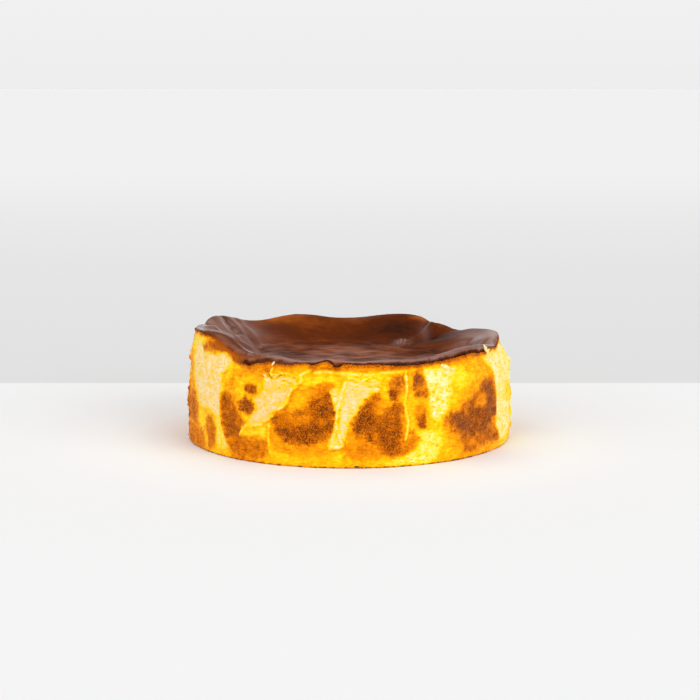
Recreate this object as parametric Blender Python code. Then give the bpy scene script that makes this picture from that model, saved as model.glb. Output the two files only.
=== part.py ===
"""A burnt Basque cheesecake, as one solid.

An even cake is turned first: flat foot, straight side, rounded lip, and a dish sunk into the top.
It is then settled the way a real one is: the rim stands high on one side and dips on the other,
folds of skin run down the dish, and the side keeps the creases of the baking parchment.

Bearings are degrees round the cake as seen from above: 0 at the front (-Y), 90 at +X.
"""

import math

import bmesh
import bpy
from mathutils import Vector, geometry, noise

# Driving sizes of the even cake, in metres.
CAKE_RADIUS = 0.0736
CAKE_HEIGHT = 0.0435
RIM_RADIUS = 0.0698
LIP_WIDTH = 0.0020
LIP_DEPTH = 0.0020
DISH_RADIUS = 0.0425
DISH_HEIGHT = 0.0370
FOOT_ROUND = 0.0006
FOOT_FLARE = 0.0006
SHOULDER = 0.72 * CAKE_HEIGHT

# How finely it is turned.
COLUMNS = 180
SIDE_RINGS = 10
LIP_RINGS = 3
WALL_RINGS = 12
DISH_RINGS = 5

# The rim rises or dips by so much: bearing, half-width in degrees, rise.
RIM_WAVES = (
    (-119.7, 15.4, 0.0042),
    (-105.0, 4.0, -0.0018),
    (-97.3, 8.7, -0.0014),
    (-91.0, 28.4, 0.0072),
    (-89.0, 4.0, -0.0010),
    (-61.1, 12.7, 0.0016),
    (-56.4, 20.1, 0.0052),
    (-25.5, 10.3, 0.0024),
    (-6.5, 7.1, 0.0024),
    (12.1, 11.9, 0.0017),
    (48.0, 21.0, 0.0041),
    (70.0, 7.0, -0.0017),
    (91.0, 25.9, 0.0034),
    (131.9, 8.4, -0.0024),
    (144.0, 3.6, -0.0019),
    (157.1, 16.5, 0.0036),
    (-158.6, 14.8, 0.0033),
)

# The whole shoulder leans in by so much: bearing, half-width in degrees, shift.
RIM_LEANS = (
    (-85.0, 24.0, -0.0010),
    (86.0, 24.0, -0.0031),
)

# Where the skin has slumped outwards: bearing, half-width in degrees, how much wider the lip is.
SKIN_SLUMPS = (
    (-51.9, 11.8, 0.0048),
    (118.0, 9.0, 0.0020),
    (-171.0, 8.0, 0.0015),
)

# Where the skin hangs further down the side: bearing, half-width in degrees, how much.
SKIN_SPILLS = (
    (-58.0, 7.0, 0.0050),
    (-44.0, 9.0, 0.0022),
    (-36.0, 3.0, 0.0014),
    (20.0, 9.0, 0.0006),
    (54.0, 12.0, 0.0012),
    (118.0, 8.0, 0.0030),
    (-171.0, 7.0, 0.0022),
)

# The dish's floor reaches out or stops short by so much: bearing, half-width in degrees, shift.
DISH_WAVES = (
    (128.0, 20.0, -0.0110),
    (-142.0, 15.0, -0.0040),
    (-20.0, 16.0, 0.0030),
    (34.0, 20.0, -0.0040),
    (-66.0, 14.0, -0.0020),
    (170.0, 12.0, 0.0010),
)

# Where the dish's wall is full at the top and not hollow: bearing, half-width, how far.
FULL_WALLS = (
    (-72.0, 34.0, 0.80),
    (60.0, 24.0, 0.50),
)

# Folds of skin down the dish: start and end in plan, half-width, rise (below 0 is a groove).
DISH_FOLDS = (
    ((-0.0600, 0.0350), (-0.0545, 0.0240), 0.0030, -0.0013),
    ((-0.0545, 0.0240), (-0.0465, 0.0040), 0.0030, -0.0011),
    ((-0.0510, 0.0380), (-0.0405, 0.0050), 0.0042, -0.0007),
    ((-0.0620, 0.0060), (-0.0480, -0.0180), 0.0050, 0.0012),
    ((0.0410, 0.0540), (0.0338, 0.0330), 0.0024, 0.0016),
    ((0.0445, 0.0500), (0.0370, 0.0330), 0.0034, -0.0014),
    ((0.0400, 0.0060), (0.0530, 0.0080), 0.0036, -0.0014),
    ((0.0530, 0.0080), (0.0590, -0.0100), 0.0032, -0.0022),
    ((0.0590, -0.0100), (0.0640, -0.0220), 0.0028, -0.0018),
    ((0.0080, 0.0660), (0.0040, 0.0450), 0.0060, -0.0008),
    ((-0.0250, -0.0580), (-0.0150, -0.0440), 0.0040, -0.0008),
    ((0.0330, -0.0560), (0.0250, -0.0400), 0.0050, -0.0010),
)
DISH_WAVER = 0.0008
DISH_SAG = 0.0008

# Creases that the folded parchment leaves on the side: bearing and height of each point.
SIDE_CREASES = (
    ((-17, 0.041), (-19, 0.033), (-24, 0.023), (-30, 0.018), (-38, 0.013)),
    ((-1, 0.037), (-4, 0.025), (-4, 0.017), (-2, 0.010)),
    ((19, 0.040), (18, 0.027), (20, 0.019), (18, 0.011)),
    ((-50, 0.038), (-49, 0.020), (-44, 0.006)),
    ((57, 0.041), (60, 0.026), (60, 0.014), (64, 0.006)),
    ((88, 0.040), (84, 0.022), (87, 0.005)),
    ((112, 0.034), (118, 0.018), (115, 0.004)),
    ((146, 0.038), (139, 0.024), (131, 0.015)),
    ((168, 0.040), (171, 0.022), (166, 0.008)),
    ((-160, 0.038), (-157, 0.024), (-149, 0.012)),
    ((-131, 0.042), (-135, 0.026), (-133, 0.008)),
    ((-104, 0.044), (-101, 0.028), (-107, 0.012)),
    ((-80, 0.046), (-78, 0.030), (-82, 0.016)),
)
CREASE_HALF_WIDTH = 0.0019
CREASE_RISE = 0.0009

# Where the batter pressed on the tin: bearing, height, half-widths across and up.
PRESSED_PATCHES = (
    (-44, 0.016, 0.008, 0.013),
    (-17, 0.019, 0.013, 0.012),
    (10, 0.016, 0.011, 0.011),
    (48, 0.018, 0.014, 0.014),
    (-74, 0.012, 0.008, 0.013),
    (100, 0.020, 0.012, 0.013),
    (130, 0.026, 0.010, 0.011),
    (156, 0.017, 0.013, 0.012),
    (-174, 0.022, 0.010, 0.013),
    (-146, 0.026, 0.010, 0.011),
    (-118, 0.018, 0.013, 0.013),
)
PRESSED_RISE = 0.0006
SIDE_WAVER = 0.0005

# Torn flakes at the skin's edge: bearing, height, half-width, how far each stands out.
FLAKES = (
    (57, 0.0450, 0.0020, 0.0010),
    (33, 0.0415, 0.0016, 0.0006),
)

CUSTARD_COLOUR = (0.86, 0.50, 0.10, 1.0)
SKIN_COLOUR = (0.10, 0.030, 0.012, 1.0)


def smooth(start, end, value):
    """0 before start, 1 after end, eased between them."""
    t = min(max((value - start) / (end - start), 0.0), 1.0)
    return t * t * (3.0 - 2.0 * t)


def turn_between(bearing, centre):
    """Signed turn from centre to bearing, in degrees, within half a circle."""
    return (bearing - centre + 180.0) % 360.0 - 180.0


def hump(distance, half_width):
    return math.exp(-((distance / half_width) ** 2))


def sum_of_waves(waves, bearing):
    return sum(rise * hump(turn_between(bearing, centre), width) for centre, width, rise in waves)


def rim_height(bearing):
    return CAKE_HEIGHT + sum_of_waves(RIM_WAVES, bearing)


def rim_radius(bearing):
    lean = sum_of_waves(RIM_LEANS, bearing)
    return RIM_RADIUS + lean - sum_of_waves(SKIN_SLUMPS, bearing)


def dish_radius(bearing):
    return DISH_RADIUS + sum_of_waves(DISH_WAVES, bearing)


def skin_edge_height(bearing):
    """Height at which the skin ends on the side."""
    return rim_height(bearing) - LIP_DEPTH - sum_of_waves(SKIN_SPILLS, bearing)


def distance_to_line(point, start, end):
    """Shortest distance in 2-D from a point to the stretch between start and end."""
    nearest, along = geometry.intersect_point_line(point, start, end)
    if along <= 0.0:
        return (point - start).length
    if along >= 1.0:
        return (point - end).length
    return (point - nearest).length


def on_side(bearing, height, centre):
    """Place on the unrolled side, measured from the centre bearing."""
    return Vector((math.radians(turn_between(bearing, centre)) * CAKE_RADIUS, height))


def crease_relief(bearing, height):
    nearest = 1.0
    for crease in SIDE_CREASES:
        points = [on_side(at, up, bearing) for at, up in crease]
        here = Vector((0.0, height))
        for start, end in zip(points, points[1:]):
            nearest = min(nearest, distance_to_line(here, start, end))
    return CREASE_RISE * hump(nearest, CREASE_HALF_WIDTH)


def pressed_relief(bearing, height):
    pressed = 0.0
    for centre, middle, half_across, half_up in PRESSED_PATCHES:
        offset = on_side(bearing, height, centre)
        across = offset.x / half_across
        up = (offset.y - middle) / half_up
        pressed = max(pressed, math.exp(-((across * across + up * up) ** 2)))
    return PRESSED_RISE * pressed


def flake_relief(bearing, height):
    relief = 0.0
    for centre, middle, half_width, rise in FLAKES:
        offset = on_side(bearing, height, centre)
        relief += rise * hump(math.hypot(offset.x, offset.y - middle), half_width)
    return relief


def side_relief(bearing, height):
    angle = math.radians(bearing)
    waver = noise.noise(Vector((3.2 * math.sin(angle), 3.2 * math.cos(angle), height / 0.020)))
    relief = crease_relief(bearing, height) + pressed_relief(bearing, height)
    return relief + SIDE_WAVER * (waver - 1.0) + flake_relief(bearing, height)


def dish_relief(place):
    """Folds of the skin and the dish's slow waver, at a place in plan."""
    relief = 0.0
    for start, end, half_width, rise in DISH_FOLDS:
        relief += rise * hump(distance_to_line(place, Vector(start), Vector(end)), half_width)
    waver = noise.noise(Vector((place.x / 0.021, place.y / 0.016, 0.4)))
    return relief + DISH_WAVER * waver


def shoulder_radius(height):
    """Radius of the even cake's side, which draws in towards the lip."""
    drawn_in = CAKE_RADIUS - RIM_RADIUS - LIP_WIDTH
    return CAKE_RADIUS - drawn_in * smooth(SHOULDER, CAKE_HEIGHT - LIP_DEPTH, height)


def even_profile():
    """Half-section of the even cake from the middle of the foot round to the middle of the dish."""
    profile = [(0.0, 0.0), (CAKE_RADIUS - FOOT_ROUND, 0.0)]
    lip_foot = CAKE_HEIGHT - LIP_DEPTH
    for ring in range(SIDE_RINGS):
        height = FOOT_ROUND + (lip_foot - FOOT_ROUND) * ring / SIDE_RINGS
        profile.append((shoulder_radius(height), height))
    for ring in range(LIP_RINGS):
        angle = 0.5 * math.pi * ring / LIP_RINGS
        profile.append((RIM_RADIUS + LIP_WIDTH * math.cos(angle), lip_foot + LIP_DEPTH * math.sin(angle)))
    for ring in range(WALL_RINGS):
        profile.append((RIM_RADIUS - (RIM_RADIUS - DISH_RADIUS) * ring / WALL_RINGS, CAKE_HEIGHT))
    for ring in range(DISH_RINGS + 1):
        profile.append((DISH_RADIUS * (1.0 - ring / DISH_RINGS), CAKE_HEIGHT))
    return profile


def turn_even_cake(bm):
    """Spin the half-section into a closed body."""
    corners = [bm.verts.new((radius, 0.0, height)) for radius, height in even_profile()]
    for lower, upper in zip(corners, corners[1:]):
        bm.edges.new((lower, upper))
    bmesh.ops.spin(
        bm,
        geom=bm.verts[:] + bm.edges[:],
        cent=(0.0, 0.0, 0.0),
        axis=(0.0, 0.0, 1.0),
        angle=2.0 * math.pi,
        steps=COLUMNS,
        use_merge=True,
    )
    bmesh.ops.remove_doubles(bm, verts=bm.verts[:], dist=1e-6)
    bmesh.ops.recalc_face_normals(bm, faces=bm.faces[:])


def settled_side(bearing, radius, height):
    """Radius and height of a side point once the cake has settled."""
    lip_foot = CAKE_HEIGHT - LIP_DEPTH
    risen = height * skin_edge_height(bearing) / lip_foot
    radius += sum_of_waves(RIM_LEANS, bearing) * smooth(SHOULDER, lip_foot, height)
    radius += FOOT_FLARE * (1.0 - smooth(0.0, SHOULDER, height))
    fade = 1.0 - smooth(SHOULDER, lip_foot, height)
    return radius + side_relief(bearing, risen) * (0.3 + 0.7 * fade), risen


def settled_lip(bearing, radius, height):
    """Radius and height of a point on the skin's rounded lip once the cake has settled."""
    inward = (RIM_RADIUS + LIP_WIDTH - radius) / LIP_WIDTH
    upward = (height - CAKE_HEIGHT + LIP_DEPTH) / LIP_DEPTH
    outer = settled_side(bearing, RIM_RADIUS + LIP_WIDTH, CAKE_HEIGHT - LIP_DEPTH)[0]
    low = skin_edge_height(bearing)
    return outer + (rim_radius(bearing) - outer) * inward, low + (rim_height(bearing) - low) * upward


def wall_climb(bearing, way_up):
    """How far the dish's wall has climbed, from 0 at its foot to 1 at the rim."""
    hollow = way_up ** 1.12
    full = 1.0 - (1.0 - way_up) ** 1.8
    return hollow + (full - hollow) * sum_of_waves(FULL_WALLS, bearing)


def settled_top(bearing, radius):
    """Radius and height of a point of the dish once the cake has settled."""
    rim = rim_radius(bearing)
    foot = dish_radius(bearing)
    way_up = min(max(radius - DISH_RADIUS, 0.0) / (RIM_RADIUS - DISH_RADIUS), 1.0)
    way_out = min(radius / DISH_RADIUS, 1.0)
    radius = foot * way_out + (rim - foot) * way_up
    angle = math.radians(bearing)
    place = Vector((radius * math.sin(angle), -radius * math.cos(angle)))
    height = DISH_HEIGHT + (rim_height(bearing) - DISH_HEIGHT) * wall_climb(bearing, way_up)
    height -= DISH_SAG * (1.0 - way_out * way_out)
    held = 1.0 - smooth(0.85, 1.0, way_up)
    return radius, height + held * dish_relief(place)


def settle(bm):
    """Move the even cake's points to where they lie on the real one."""
    for vert in bm.verts:
        radius = math.hypot(vert.co.x, vert.co.y)
        bearing = math.degrees(math.atan2(vert.co.x, -vert.co.y))
        height = vert.co.z
        if height < FOOT_ROUND / 2.0:
            if radius == 0.0:
                continue
            radius = settled_side(bearing, radius, 0.0)[0]
        elif radius <= RIM_RADIUS + 1e-6:
            radius, height = settled_top(bearing, radius)
        elif height > CAKE_HEIGHT - LIP_DEPTH + 1e-6:
            radius, height = settled_lip(bearing, radius, height)
        else:
            radius, height = settled_side(bearing, radius, height)
        angle = math.radians(bearing)
        vert.co = Vector((radius * math.sin(angle), -radius * math.cos(angle), height))


def stand_at_origin(bm):
    """Put the middle of the cake's box over the origin, foot on the ground."""
    low = Vector([min(vert.co[axis] for vert in bm.verts) for axis in range(3)])
    high = Vector([max(vert.co[axis] for vert in bm.verts) for axis in range(3)])
    middle = (low + high) / 2.0
    bmesh.ops.translate(bm, verts=bm.verts[:], vec=(-middle.x, -middle.y, -low.z))


def principled(name, colour, roughness):
    material = bpy.data.materials.new(name)
    material.use_nodes = True
    shader = material.node_tree.nodes["Principled BSDF"]
    shader.inputs["Base Color"].default_value = colour
    shader.inputs["Roughness"].default_value = roughness
    shader.inputs["Metallic"].default_value = 0.0
    material.diffuse_color = colour
    return material


def make_cheesecake():
    bm = bmesh.new()
    turn_even_cake(bm)
    settle(bm)
    stand_at_origin(bm)
    bmesh.ops.triangulate(bm, faces=bm.faces[:])
    bmesh.ops.recalc_face_normals(bm, faces=bm.faces[:])
    mesh = bpy.data.meshes.new("cheesecake")
    bm.to_mesh(mesh)
    bm.free()
    mesh.materials.append(principled("custard", CUSTARD_COLOUR, 0.55))
    mesh.materials.append(principled("burnt skin", SKIN_COLOUR, 0.35))
    for face in mesh.polygons:
        bearing = math.degrees(math.atan2(face.center.x, -face.center.y))
        face.material_index = 1 if face.center.z > skin_edge_height(bearing) else 0
        if math.hypot(face.center.x, face.center.y) < rim_radius(bearing) and face.normal.z > 0.0:
            face.material_index = 1
    mesh.shade_smooth()
    mesh.set_sharp_from_angle(angle=math.radians(50.0))
    cake = bpy.data.objects.new("cheesecake", mesh)
    bpy.context.scene.collection.objects.link(cake)
    return cake


for leftover in list(bpy.data.objects):
    bpy.data.objects.remove(leftover, do_unlink=True)
make_cheesecake()
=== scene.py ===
"""A burnt Basque cheesecake: the baked custard, its burnt skin and its crumbs, on a plain pale floor.

The custard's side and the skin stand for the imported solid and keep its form. Each is turned from a
half-section, settled the way the real cake settled, and then given its fine relief and its bake.

Bearings are degrees round the cake as seen from above: 0 at the front (-Y), 90 at +X. The tables, the
side's relief and the skin's are in millimetres, and everything else is in metres.
"""

import math
import random

import bmesh
import bpy
import numpy as np
from bpy.props import FloatProperty, FloatVectorProperty, IntProperty, PointerProperty
from mathutils import Matrix, Vector, noise


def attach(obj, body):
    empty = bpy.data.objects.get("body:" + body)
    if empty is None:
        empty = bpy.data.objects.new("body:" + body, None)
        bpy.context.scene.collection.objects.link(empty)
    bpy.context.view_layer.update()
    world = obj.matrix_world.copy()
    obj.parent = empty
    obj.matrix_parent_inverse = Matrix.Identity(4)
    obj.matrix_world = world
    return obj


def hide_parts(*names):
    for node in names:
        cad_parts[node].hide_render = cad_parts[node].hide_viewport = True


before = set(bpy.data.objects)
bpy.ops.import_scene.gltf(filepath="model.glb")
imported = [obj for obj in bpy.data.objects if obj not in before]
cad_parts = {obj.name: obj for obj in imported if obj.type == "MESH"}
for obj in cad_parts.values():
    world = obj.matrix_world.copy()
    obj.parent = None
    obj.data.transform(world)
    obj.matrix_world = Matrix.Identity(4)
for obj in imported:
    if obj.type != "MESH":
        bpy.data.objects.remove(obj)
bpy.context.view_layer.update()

bl_info = {
    "name": "Burnt Basque cheesecake",
    "version": (1, 0, 0),
    "blender": (4, 5, 0),
    "location": "3D View > Sidebar > Cheesecake",
    "description": "Bakes a cheesecake with a burnt skin round the packed model",
    "category": "Object",
}

NODE = "cheesecake"
BODY = "root"
MM = 0.001

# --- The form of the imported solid, in the same named sizes.
CAKE_RADIUS = 0.0736
CAKE_HEIGHT = 0.0435
RIM_RADIUS = 0.0698
LIP_WIDTH = 0.0020
LIP_DEPTH = 0.0020
DISH_RADIUS = 0.0425
DISH_HEIGHT = 0.0370
DISH_SAG = 0.0008
FOOT_ROUND = 0.0006
FOOT_FLARE = 0.0006
SHOULDER = 0.72 * CAKE_HEIGHT
LIP_FOOT = CAKE_HEIGHT - LIP_DEPTH
MM_PER_DEGREE = math.radians(CAKE_RADIUS) / MM

# Waves round the cake: bearing, half-width in degrees, and how much. The rim rises and leans outward, the
# skin slumps inward and spills down over the side, and the dish widens.
RIM_WAVES = (
    (-119.7, 15.4, 4.2), (-105, 4, -1.8), (-97.3, 8.7, -1.4), (-91, 28.4, 7.2), (-89, 4, -1),
    (-61.1, 12.7, 1.6), (-56.4, 20.1, 5.2), (-25.5, 10.3, 2.4), (-6.5, 7.1, 2.4), (12.1, 11.9, 1.7),
    (48, 21, 4.1), (70, 7, -1.7), (91, 25.9, 3.4), (131.9, 8.4, -2.4), (144, 3.6, -1.9), (157.1, 16.5, 3.6),
    (-158.6, 14.8, 3.3),
)
RIM_LEANS = (
    (-85, 24, -1), (86, 24, -3.1),
)
SKIN_SLUMPS = (
    (-51.9, 11.8, 4.8), (118, 9, 2), (-171, 8, 1.5),
)
SKIN_SPILLS = (
    (-58, 7, 5), (-44, 9, 2.2), (-36, 3, 1.4), (20, 9, 0.6), (54, 12, 1.2), (118, 8, 3), (-171, 7, 2.2),
)
DISH_WAVES = (
    (128, 20, -11), (-142, 15, -4), (-20, 16, 3), (34, 20, -4), (-66, 14, -2), (170, 12, 1),
)
# How much of the dish's wall is full and not hollow.
FULL_WALLS = ((-72, 34, 0.8), (60, 24, 0.5))

# Folds of skin down the dish: start and end in plan, half-width, rise (below 0 is a groove).
DISH_FOLDS = (
    ((-60, 35), (-54.5, 24), 3, -1.3), ((-54.5, 24), (-46.5, 4), 3, -1.1),
    ((-51, 38), (-40.5, 5), 4.2, -0.7), ((-62, 6), (-48, -18), 5, 1.2), ((41, 54), (33.8, 33), 2.4, 1.6),
    ((44.5, 50), (37, 33), 3.4, -1.4), ((40, 6), (53, 8), 3.6, -1.4), ((53, 8), (59, -10), 3.2, -2.2),
    ((59, -10), (64, -22), 2.8, -1.8), ((8, 66), (4, 45), 6, -0.8), ((-25, -58), (-15, -44), 4, -0.8),
    ((33, -56), (25, -40), 5, -1),
)
DISH_WAVER = 0.8

# Creases that the folded parchment leaves on the side: bearing and height of each point.
SIDE_CREASES = (
    ((-17, 41), (-19, 33), (-24, 23), (-30, 18), (-38, 13)), ((-1, 37), (-4, 25), (-4, 17), (-2, 10)),
    ((19, 40), (18, 27), (20, 19), (18, 11)), ((-50, 38), (-49, 20), (-44, 6)),
    ((57, 41), (60, 26), (60, 14), (64, 6)), ((88, 40), (84, 22), (87, 5)),
    ((112, 34), (118, 18), (115, 4)), ((146, 38), (139, 24), (131, 15)), ((168, 40), (171, 22), (166, 8)),
    ((-160, 38), (-157, 24), (-149, 12)), ((-131, 42), (-135, 26), (-133, 8)),
    ((-104, 44), (-101, 28), (-107, 12)), ((-80, 46), (-78, 30), (-82, 16)),
)
CREASE_HALF_WIDTH = 1.9
CREASE_RISE = 0.9

# Where the batter pressed on the tin: bearing, height, half-widths across and up.
PRESSED_PATCHES = (
    (-44, 16, 8, 13), (-17, 19, 13, 12), (10, 16, 11, 11), (48, 18, 14, 14), (-74, 12, 8, 13),
    (100, 20, 12, 13), (130, 26, 10, 11), (156, 17, 13, 12), (-174, 22, 10, 13), (-146, 26, 10, 11),
    (-118, 18, 13, 13),
)
PRESSED_RISE = 0.6
SIDE_WAVER = 0.5
# Flakes: bearing, height, half-width, rise.
FLAKES = ((57, 45, 2, 1), (33, 41.5, 1.6, 0.6))

# --- What the solid leaves out: the skin's own edge, sharper folds and creases.
# How far below the rim the skin ends at each bearing.
SKIN_HANG = (
    (-180, 2.4), (-171, 4.2), (-165, 2), (-150, 2.6), (-135, 1.6), (-120, 2.4), (-105, 1.2), (-90, 0.8),
    (-76, 0.6), (-71, 0.5), (-68, 0.9), (-65.5, 1.4), (-60, 1.8), (-56.4, 2.4), (-55.4, 4.4), (-54, 5),
    (-50.5, 4.2), (-47.4, 2.9), (-45.4, 2.6), (-44.2, 3.9), (-42.6, 5), (-40.5, 4.9), (-37.6, 4.6),
    (-36.2, 5.4), (-34.7, 4.2), (-33, 3.6), (-31, 3.3), (-29, 2.8), (-27.6, 2.6), (-25.2, 3.1),
    (-22.5, 2.6), (-20, 2.4), (-17.4, 1.3), (-15.2, 0.8), (-13.6, 1), (-12.7, 1.7), (-10.5, 1.4),
    (-8.6, 0.9), (-7.2, 0.7), (-6, 1.4), (-4.8, 3.1), (-3.1, 2.7), (-2.1, 1.3), (0, 0.9), (4, 1), (7, 1),
    (11, 1.6), (16, 2.4), (20, 2.2), (24, 2.3), (28, 2.1), (34, 2.4), (42, 2.6), (47, 2.5), (52, 3.2),
    (56, 2.9), (58, 2.8), (60, 2.2), (62, 1.6), (66, 0.9), (75, 0.7), (90, 0.7), (100, 0.9), (110, 1.6),
    (114, 3.4), (118, 4.5), (124, 2), (135, 1.2), (150, 2.4), (165, 2.2), (180, 2.4),
)

# How the skin ends: bearing, how far it is crusted into a dark bead, how far it thins out to nothing.
SKIN_EDGES = (
    (-180, 0.6, 0.3), (-171, 0.1, 0.8), (-160, 0.8, 0.1), (-140, 0.3, 0.5), (-120, 0.9, 0.1),
    (-100, 0.6, 0.2), (-76, 0.7, 0), (-66, 0.6, 0), (-61, 0.4, 0.4), (-57, 0, 1), (-42, 0, 1),
    (-39.5, 0.5, 0.5), (-38, 1, 0.1), (-33, 0.9, 0.1), (-29, 0.8, 0.3), (-15, 0.6, 0.4), (-13, 1, 0),
    (-2.5, 1, 0), (0, 0.9, 0.1), (12, 0.9, 0.2), (17, 1, 0.1), (57, 1, 0), (60, 0.6, 0.4), (65, 0.4, 0.5),
    (70, 0.8, 0.1), (100, 0.8, 0.1), (114, 0.1, 0.8), (122, 0.2, 0.6), (130, 0.9, 0.1), (160, 0.4, 0.4),
    (180, 0.6, 0.3),
)

# Sharper folds on the skin, in plan: half-width, rise, points.
SKIN_FOLDS = (
    (1.7, 0.6, ((-65, 16), (-58.5, 0), (-51.5, -11), (-45, -23))),
    (1.4, 0.3, ((-54, 19), (-49, 14), (-42, 7))),
    (2, -0.5, ((-60, 33), (-55.5, 30))),
    (2.2, 0.5, ((-53, 43), (-47.5, 33), (-42, 20), (-39.5, 13))),
    (3, 1.1, ((41.2, 54), (38.5, 44), (35, 34))),
    (1.1, -1.3, ((50, 6), (56.1, 5.7), (59, -2))),
    (1.8, 0.6, ((50, -6), (56, -15), (62, -25))),
    (1.1, -0.6, ((-30, -54), (-22, -60), (-12, -63))),
    (1.6, 0.6, ((-41, 18), (-37.5, 21.5), (-25, 32), (-14, 37.5), (-2, 40), (7.4, 35.5), (16.8, 22.6),
        (23.6, 13.4), (38, 6.6))),
    (2, -0.5, ((-40, 9), (-30, 15), (-18, 15))),
)
# Bubbles in the skin: plan place, half-width, rise.
SKIN_BUBBLES = (
    (22.8, 33.5, 1.6, 1.4), (24.6, 30.8, 1.9, 2.4), (26.8, 29, 1.5, 2), (23, 28, 1.3, 1.4),
    (25.8, 25.6, 1.6, 2), (21.4, 35.8, 1.2, 0.9), (-10.5, -33, 1, 0.4), (30, -12, 1.2, 0.4),
    (-20, 52, 0.9, 0.4),
)

# Fine ridges on the side: half-width, rise, how pale (below 0 is a dark crack, its dark painted shade),
# points of bearing and height.
FINE_CREASES = (
    (0.55, 0.5, 0.95, ((-13, 41.5), (-16.3, 39.2), (-15.9, 37), (-17.4, 35), (-19, 33.6), (-19.9, 31),
        (-20.6, 28), (-22, 25.6), (-24.4, 24), (-25.5, 21.4), (-28.2, 19.4), (-30, 17.4), (-33, 16.2),
        (-36.6, 15.6))),
    (0.45, 0.4, 0.75, ((-36.6, 15.6), (-38, 13.4), (-39.2, 11.2))),
    (0.55, 0.45, 0.9, ((-1.2, 37), (-2.6, 33), (-3.3, 28), (-3.8, 24.6), (-4.3, 19.5), (-3.6, 16),
        (-2.8, 13), (-2.1, 10.2), (-3.6, 9.2), (-6.1, 8.6))),
    (0.5, 0.3, 0.7, ((-6.1, 8.6), (-5.6, 12), (-4.7, 16), (-4.3, 19.5))),
    (0.5, 0.45, 0.95, ((19.2, 40.2), (19.3, 36), (19.2, 32), (18.4, 27.5), (19, 23), (19.7, 19.6),
        (19.1, 15.5), (18.6, 12))),
    (0.6, 0.35, 0.85, ((-11.5, 40.4), (-8.5, 41.1), (-5, 40.8), (-1, 40.2), (3, 39.8), (7, 39.7),
        (10.5, 40.3), (15, 40.4), (19.5, 40.7))),
    (0.55, 0.35, 0.8, ((19.5, 40.7), (23, 41.3), (26, 42.2), (30, 42.2), (34, 41.4), (37, 40))),
    (0.45, 0.3, 0.6, ((-30, 38.3), (-27.5, 39.2), (-25, 38.6), (-22.5, 39.4), (-20, 39))),
    (0.45, 0.25, 0.55, ((-29, 36.4), (-25.5, 36.3), (-22, 37.2), (-18, 36.6))),
    (0.4, 0.25, 0.6, ((-1, 36.8), (2, 35.6), (5, 36.6), (8, 35.4), (10.2, 36.6))),
    (0.4, 0.25, 0.55, ((1.5, 38.2), (4, 37.2), (6.5, 38.2), (9, 37.2))),
    (0.6, 0.4, 0.25, ((-45, 37), (-47, 33), (-48.4, 28), (-48.5, 22), (-47.6, 16), (-46, 10), (-44, 5))),
    (0.28, -0.3, -0.8, ((-27.5, 40.2), (-27.9, 37.7), (-26, 36.6), (-23.8, 38.5), (-21.6, 39.1),
        (-18.4, 38.1))),
    (0.26, -0.25, -0.6, ((-23.4, 36.8), (-20.5, 35.4), (-17.7, 34.7), (-16.7, 35.6))),
    (0.26, -0.25, -0.5, ((-30.6, 33.4), (-29.4, 31.6), (-27.1, 31.3), (-28.7, 29.4))),
    (0.26, -0.25, -0.5, ((5.5, 35.2), (7.2, 34.2), (9.4, 34.8), (10.8, 34))),
    (0.45, 0.45, 0.9, ((-26.6, 41.2), (-27.3, 39.5), (-26.9, 38.2))),
    (0.4, 0.4, 0.8, ((-24.8, 40.3), (-23, 39.5), (-20.9, 39.2), (-18.8, 38.7), (-16.6, 38.4))),
    (0.35, 0.3, 0.7, ((-25.2, 36.2), (-23.4, 35.5), (-22, 34.8))),
    (0.35, 0.3, 0.8, ((-22, 37.4), (-19.8, 36.3), (-17.4, 35.6), (-16.2, 36.4))),
    (0.35, 0.3, 0.6, ((-30.2, 39.6), (-28.6, 38.5), (-29.4, 36.7), (-27.9, 35.5))),
    (0.3, 0.25, 0.75, ((0.8, 38.3), (2.1, 37.5), (3.7, 37), (5.4, 37.8), (7, 36.9), (8.6, 37.7))),
    (0.35, 0.3, 0.9, ((-1.1, 36.2), (-2.1, 32.8), (-2.4, 29.4))),
    (0.6, 0.4, 0.6, ((55, 41), (58, 38), (60.2, 32), (60.6, 24), (60.2, 16), (61, 11), (65, 6.6))),
    (0.45, 0.25, 0.45, ((-27.2, 18), (-27.6, 12), (-27, 5))),
    (0.5, 0.35, 0.8, ((146, 39), (142, 30), (139, 24), (134, 18), (131, 14))),
    (0.5, 0.35, 0.8, ((112, 35), (116, 27), (118, 18), (115.5, 9))),
    (0.5, 0.35, 0.8, ((168, 41), (170.5, 31), (171, 22), (168, 14), (166, 8))),
    (0.5, 0.35, 0.75, ((-160, 39), (-159, 31), (-157, 24), (-152, 17), (-149, 11))),
    (0.5, 0.35, 0.8, ((-131, 43), (-134, 34), (-135, 26), (-134, 16), (-133, 8))),
    (0.5, 0.35, 0.75, ((-104, 45), (-102, 36), (-101, 28), (-104, 20), (-107, 12))),
    (0.5, 0.35, 0.8, ((88, 41), (85, 32), (84, 22), (86, 12), (87, 5))),
)

# Darker and paler parts of the skin in plan: middle, half-widths, how much darker.
SKIN_TONES = (
    ((-34, 60), (18, 7), -0.34), ((4, 52), (34, 12), 0.14), ((24, 50), (13, 13), 0.32),
    ((43, 30), (11, 14), 0.36), ((-30, 44), (10, 8), 0.14), ((-52, 20), (10, 20), 0.04),
    ((8, 8), (18, 10), -0.14), ((-12, 20), (14, 8), -0.14), ((34, 6), (10, 8), 0.16),
    ((-34, 4), (12, 7), 0.2), ((35, 60), (6, 3), -0.45), ((43, 30), (6, 8), 0.14),
    ((65, -12), (7, 18), -0.24), ((-3, -70), (8, 6), -0.26), ((16, 35), (9, 5), 0.12),
)
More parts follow.
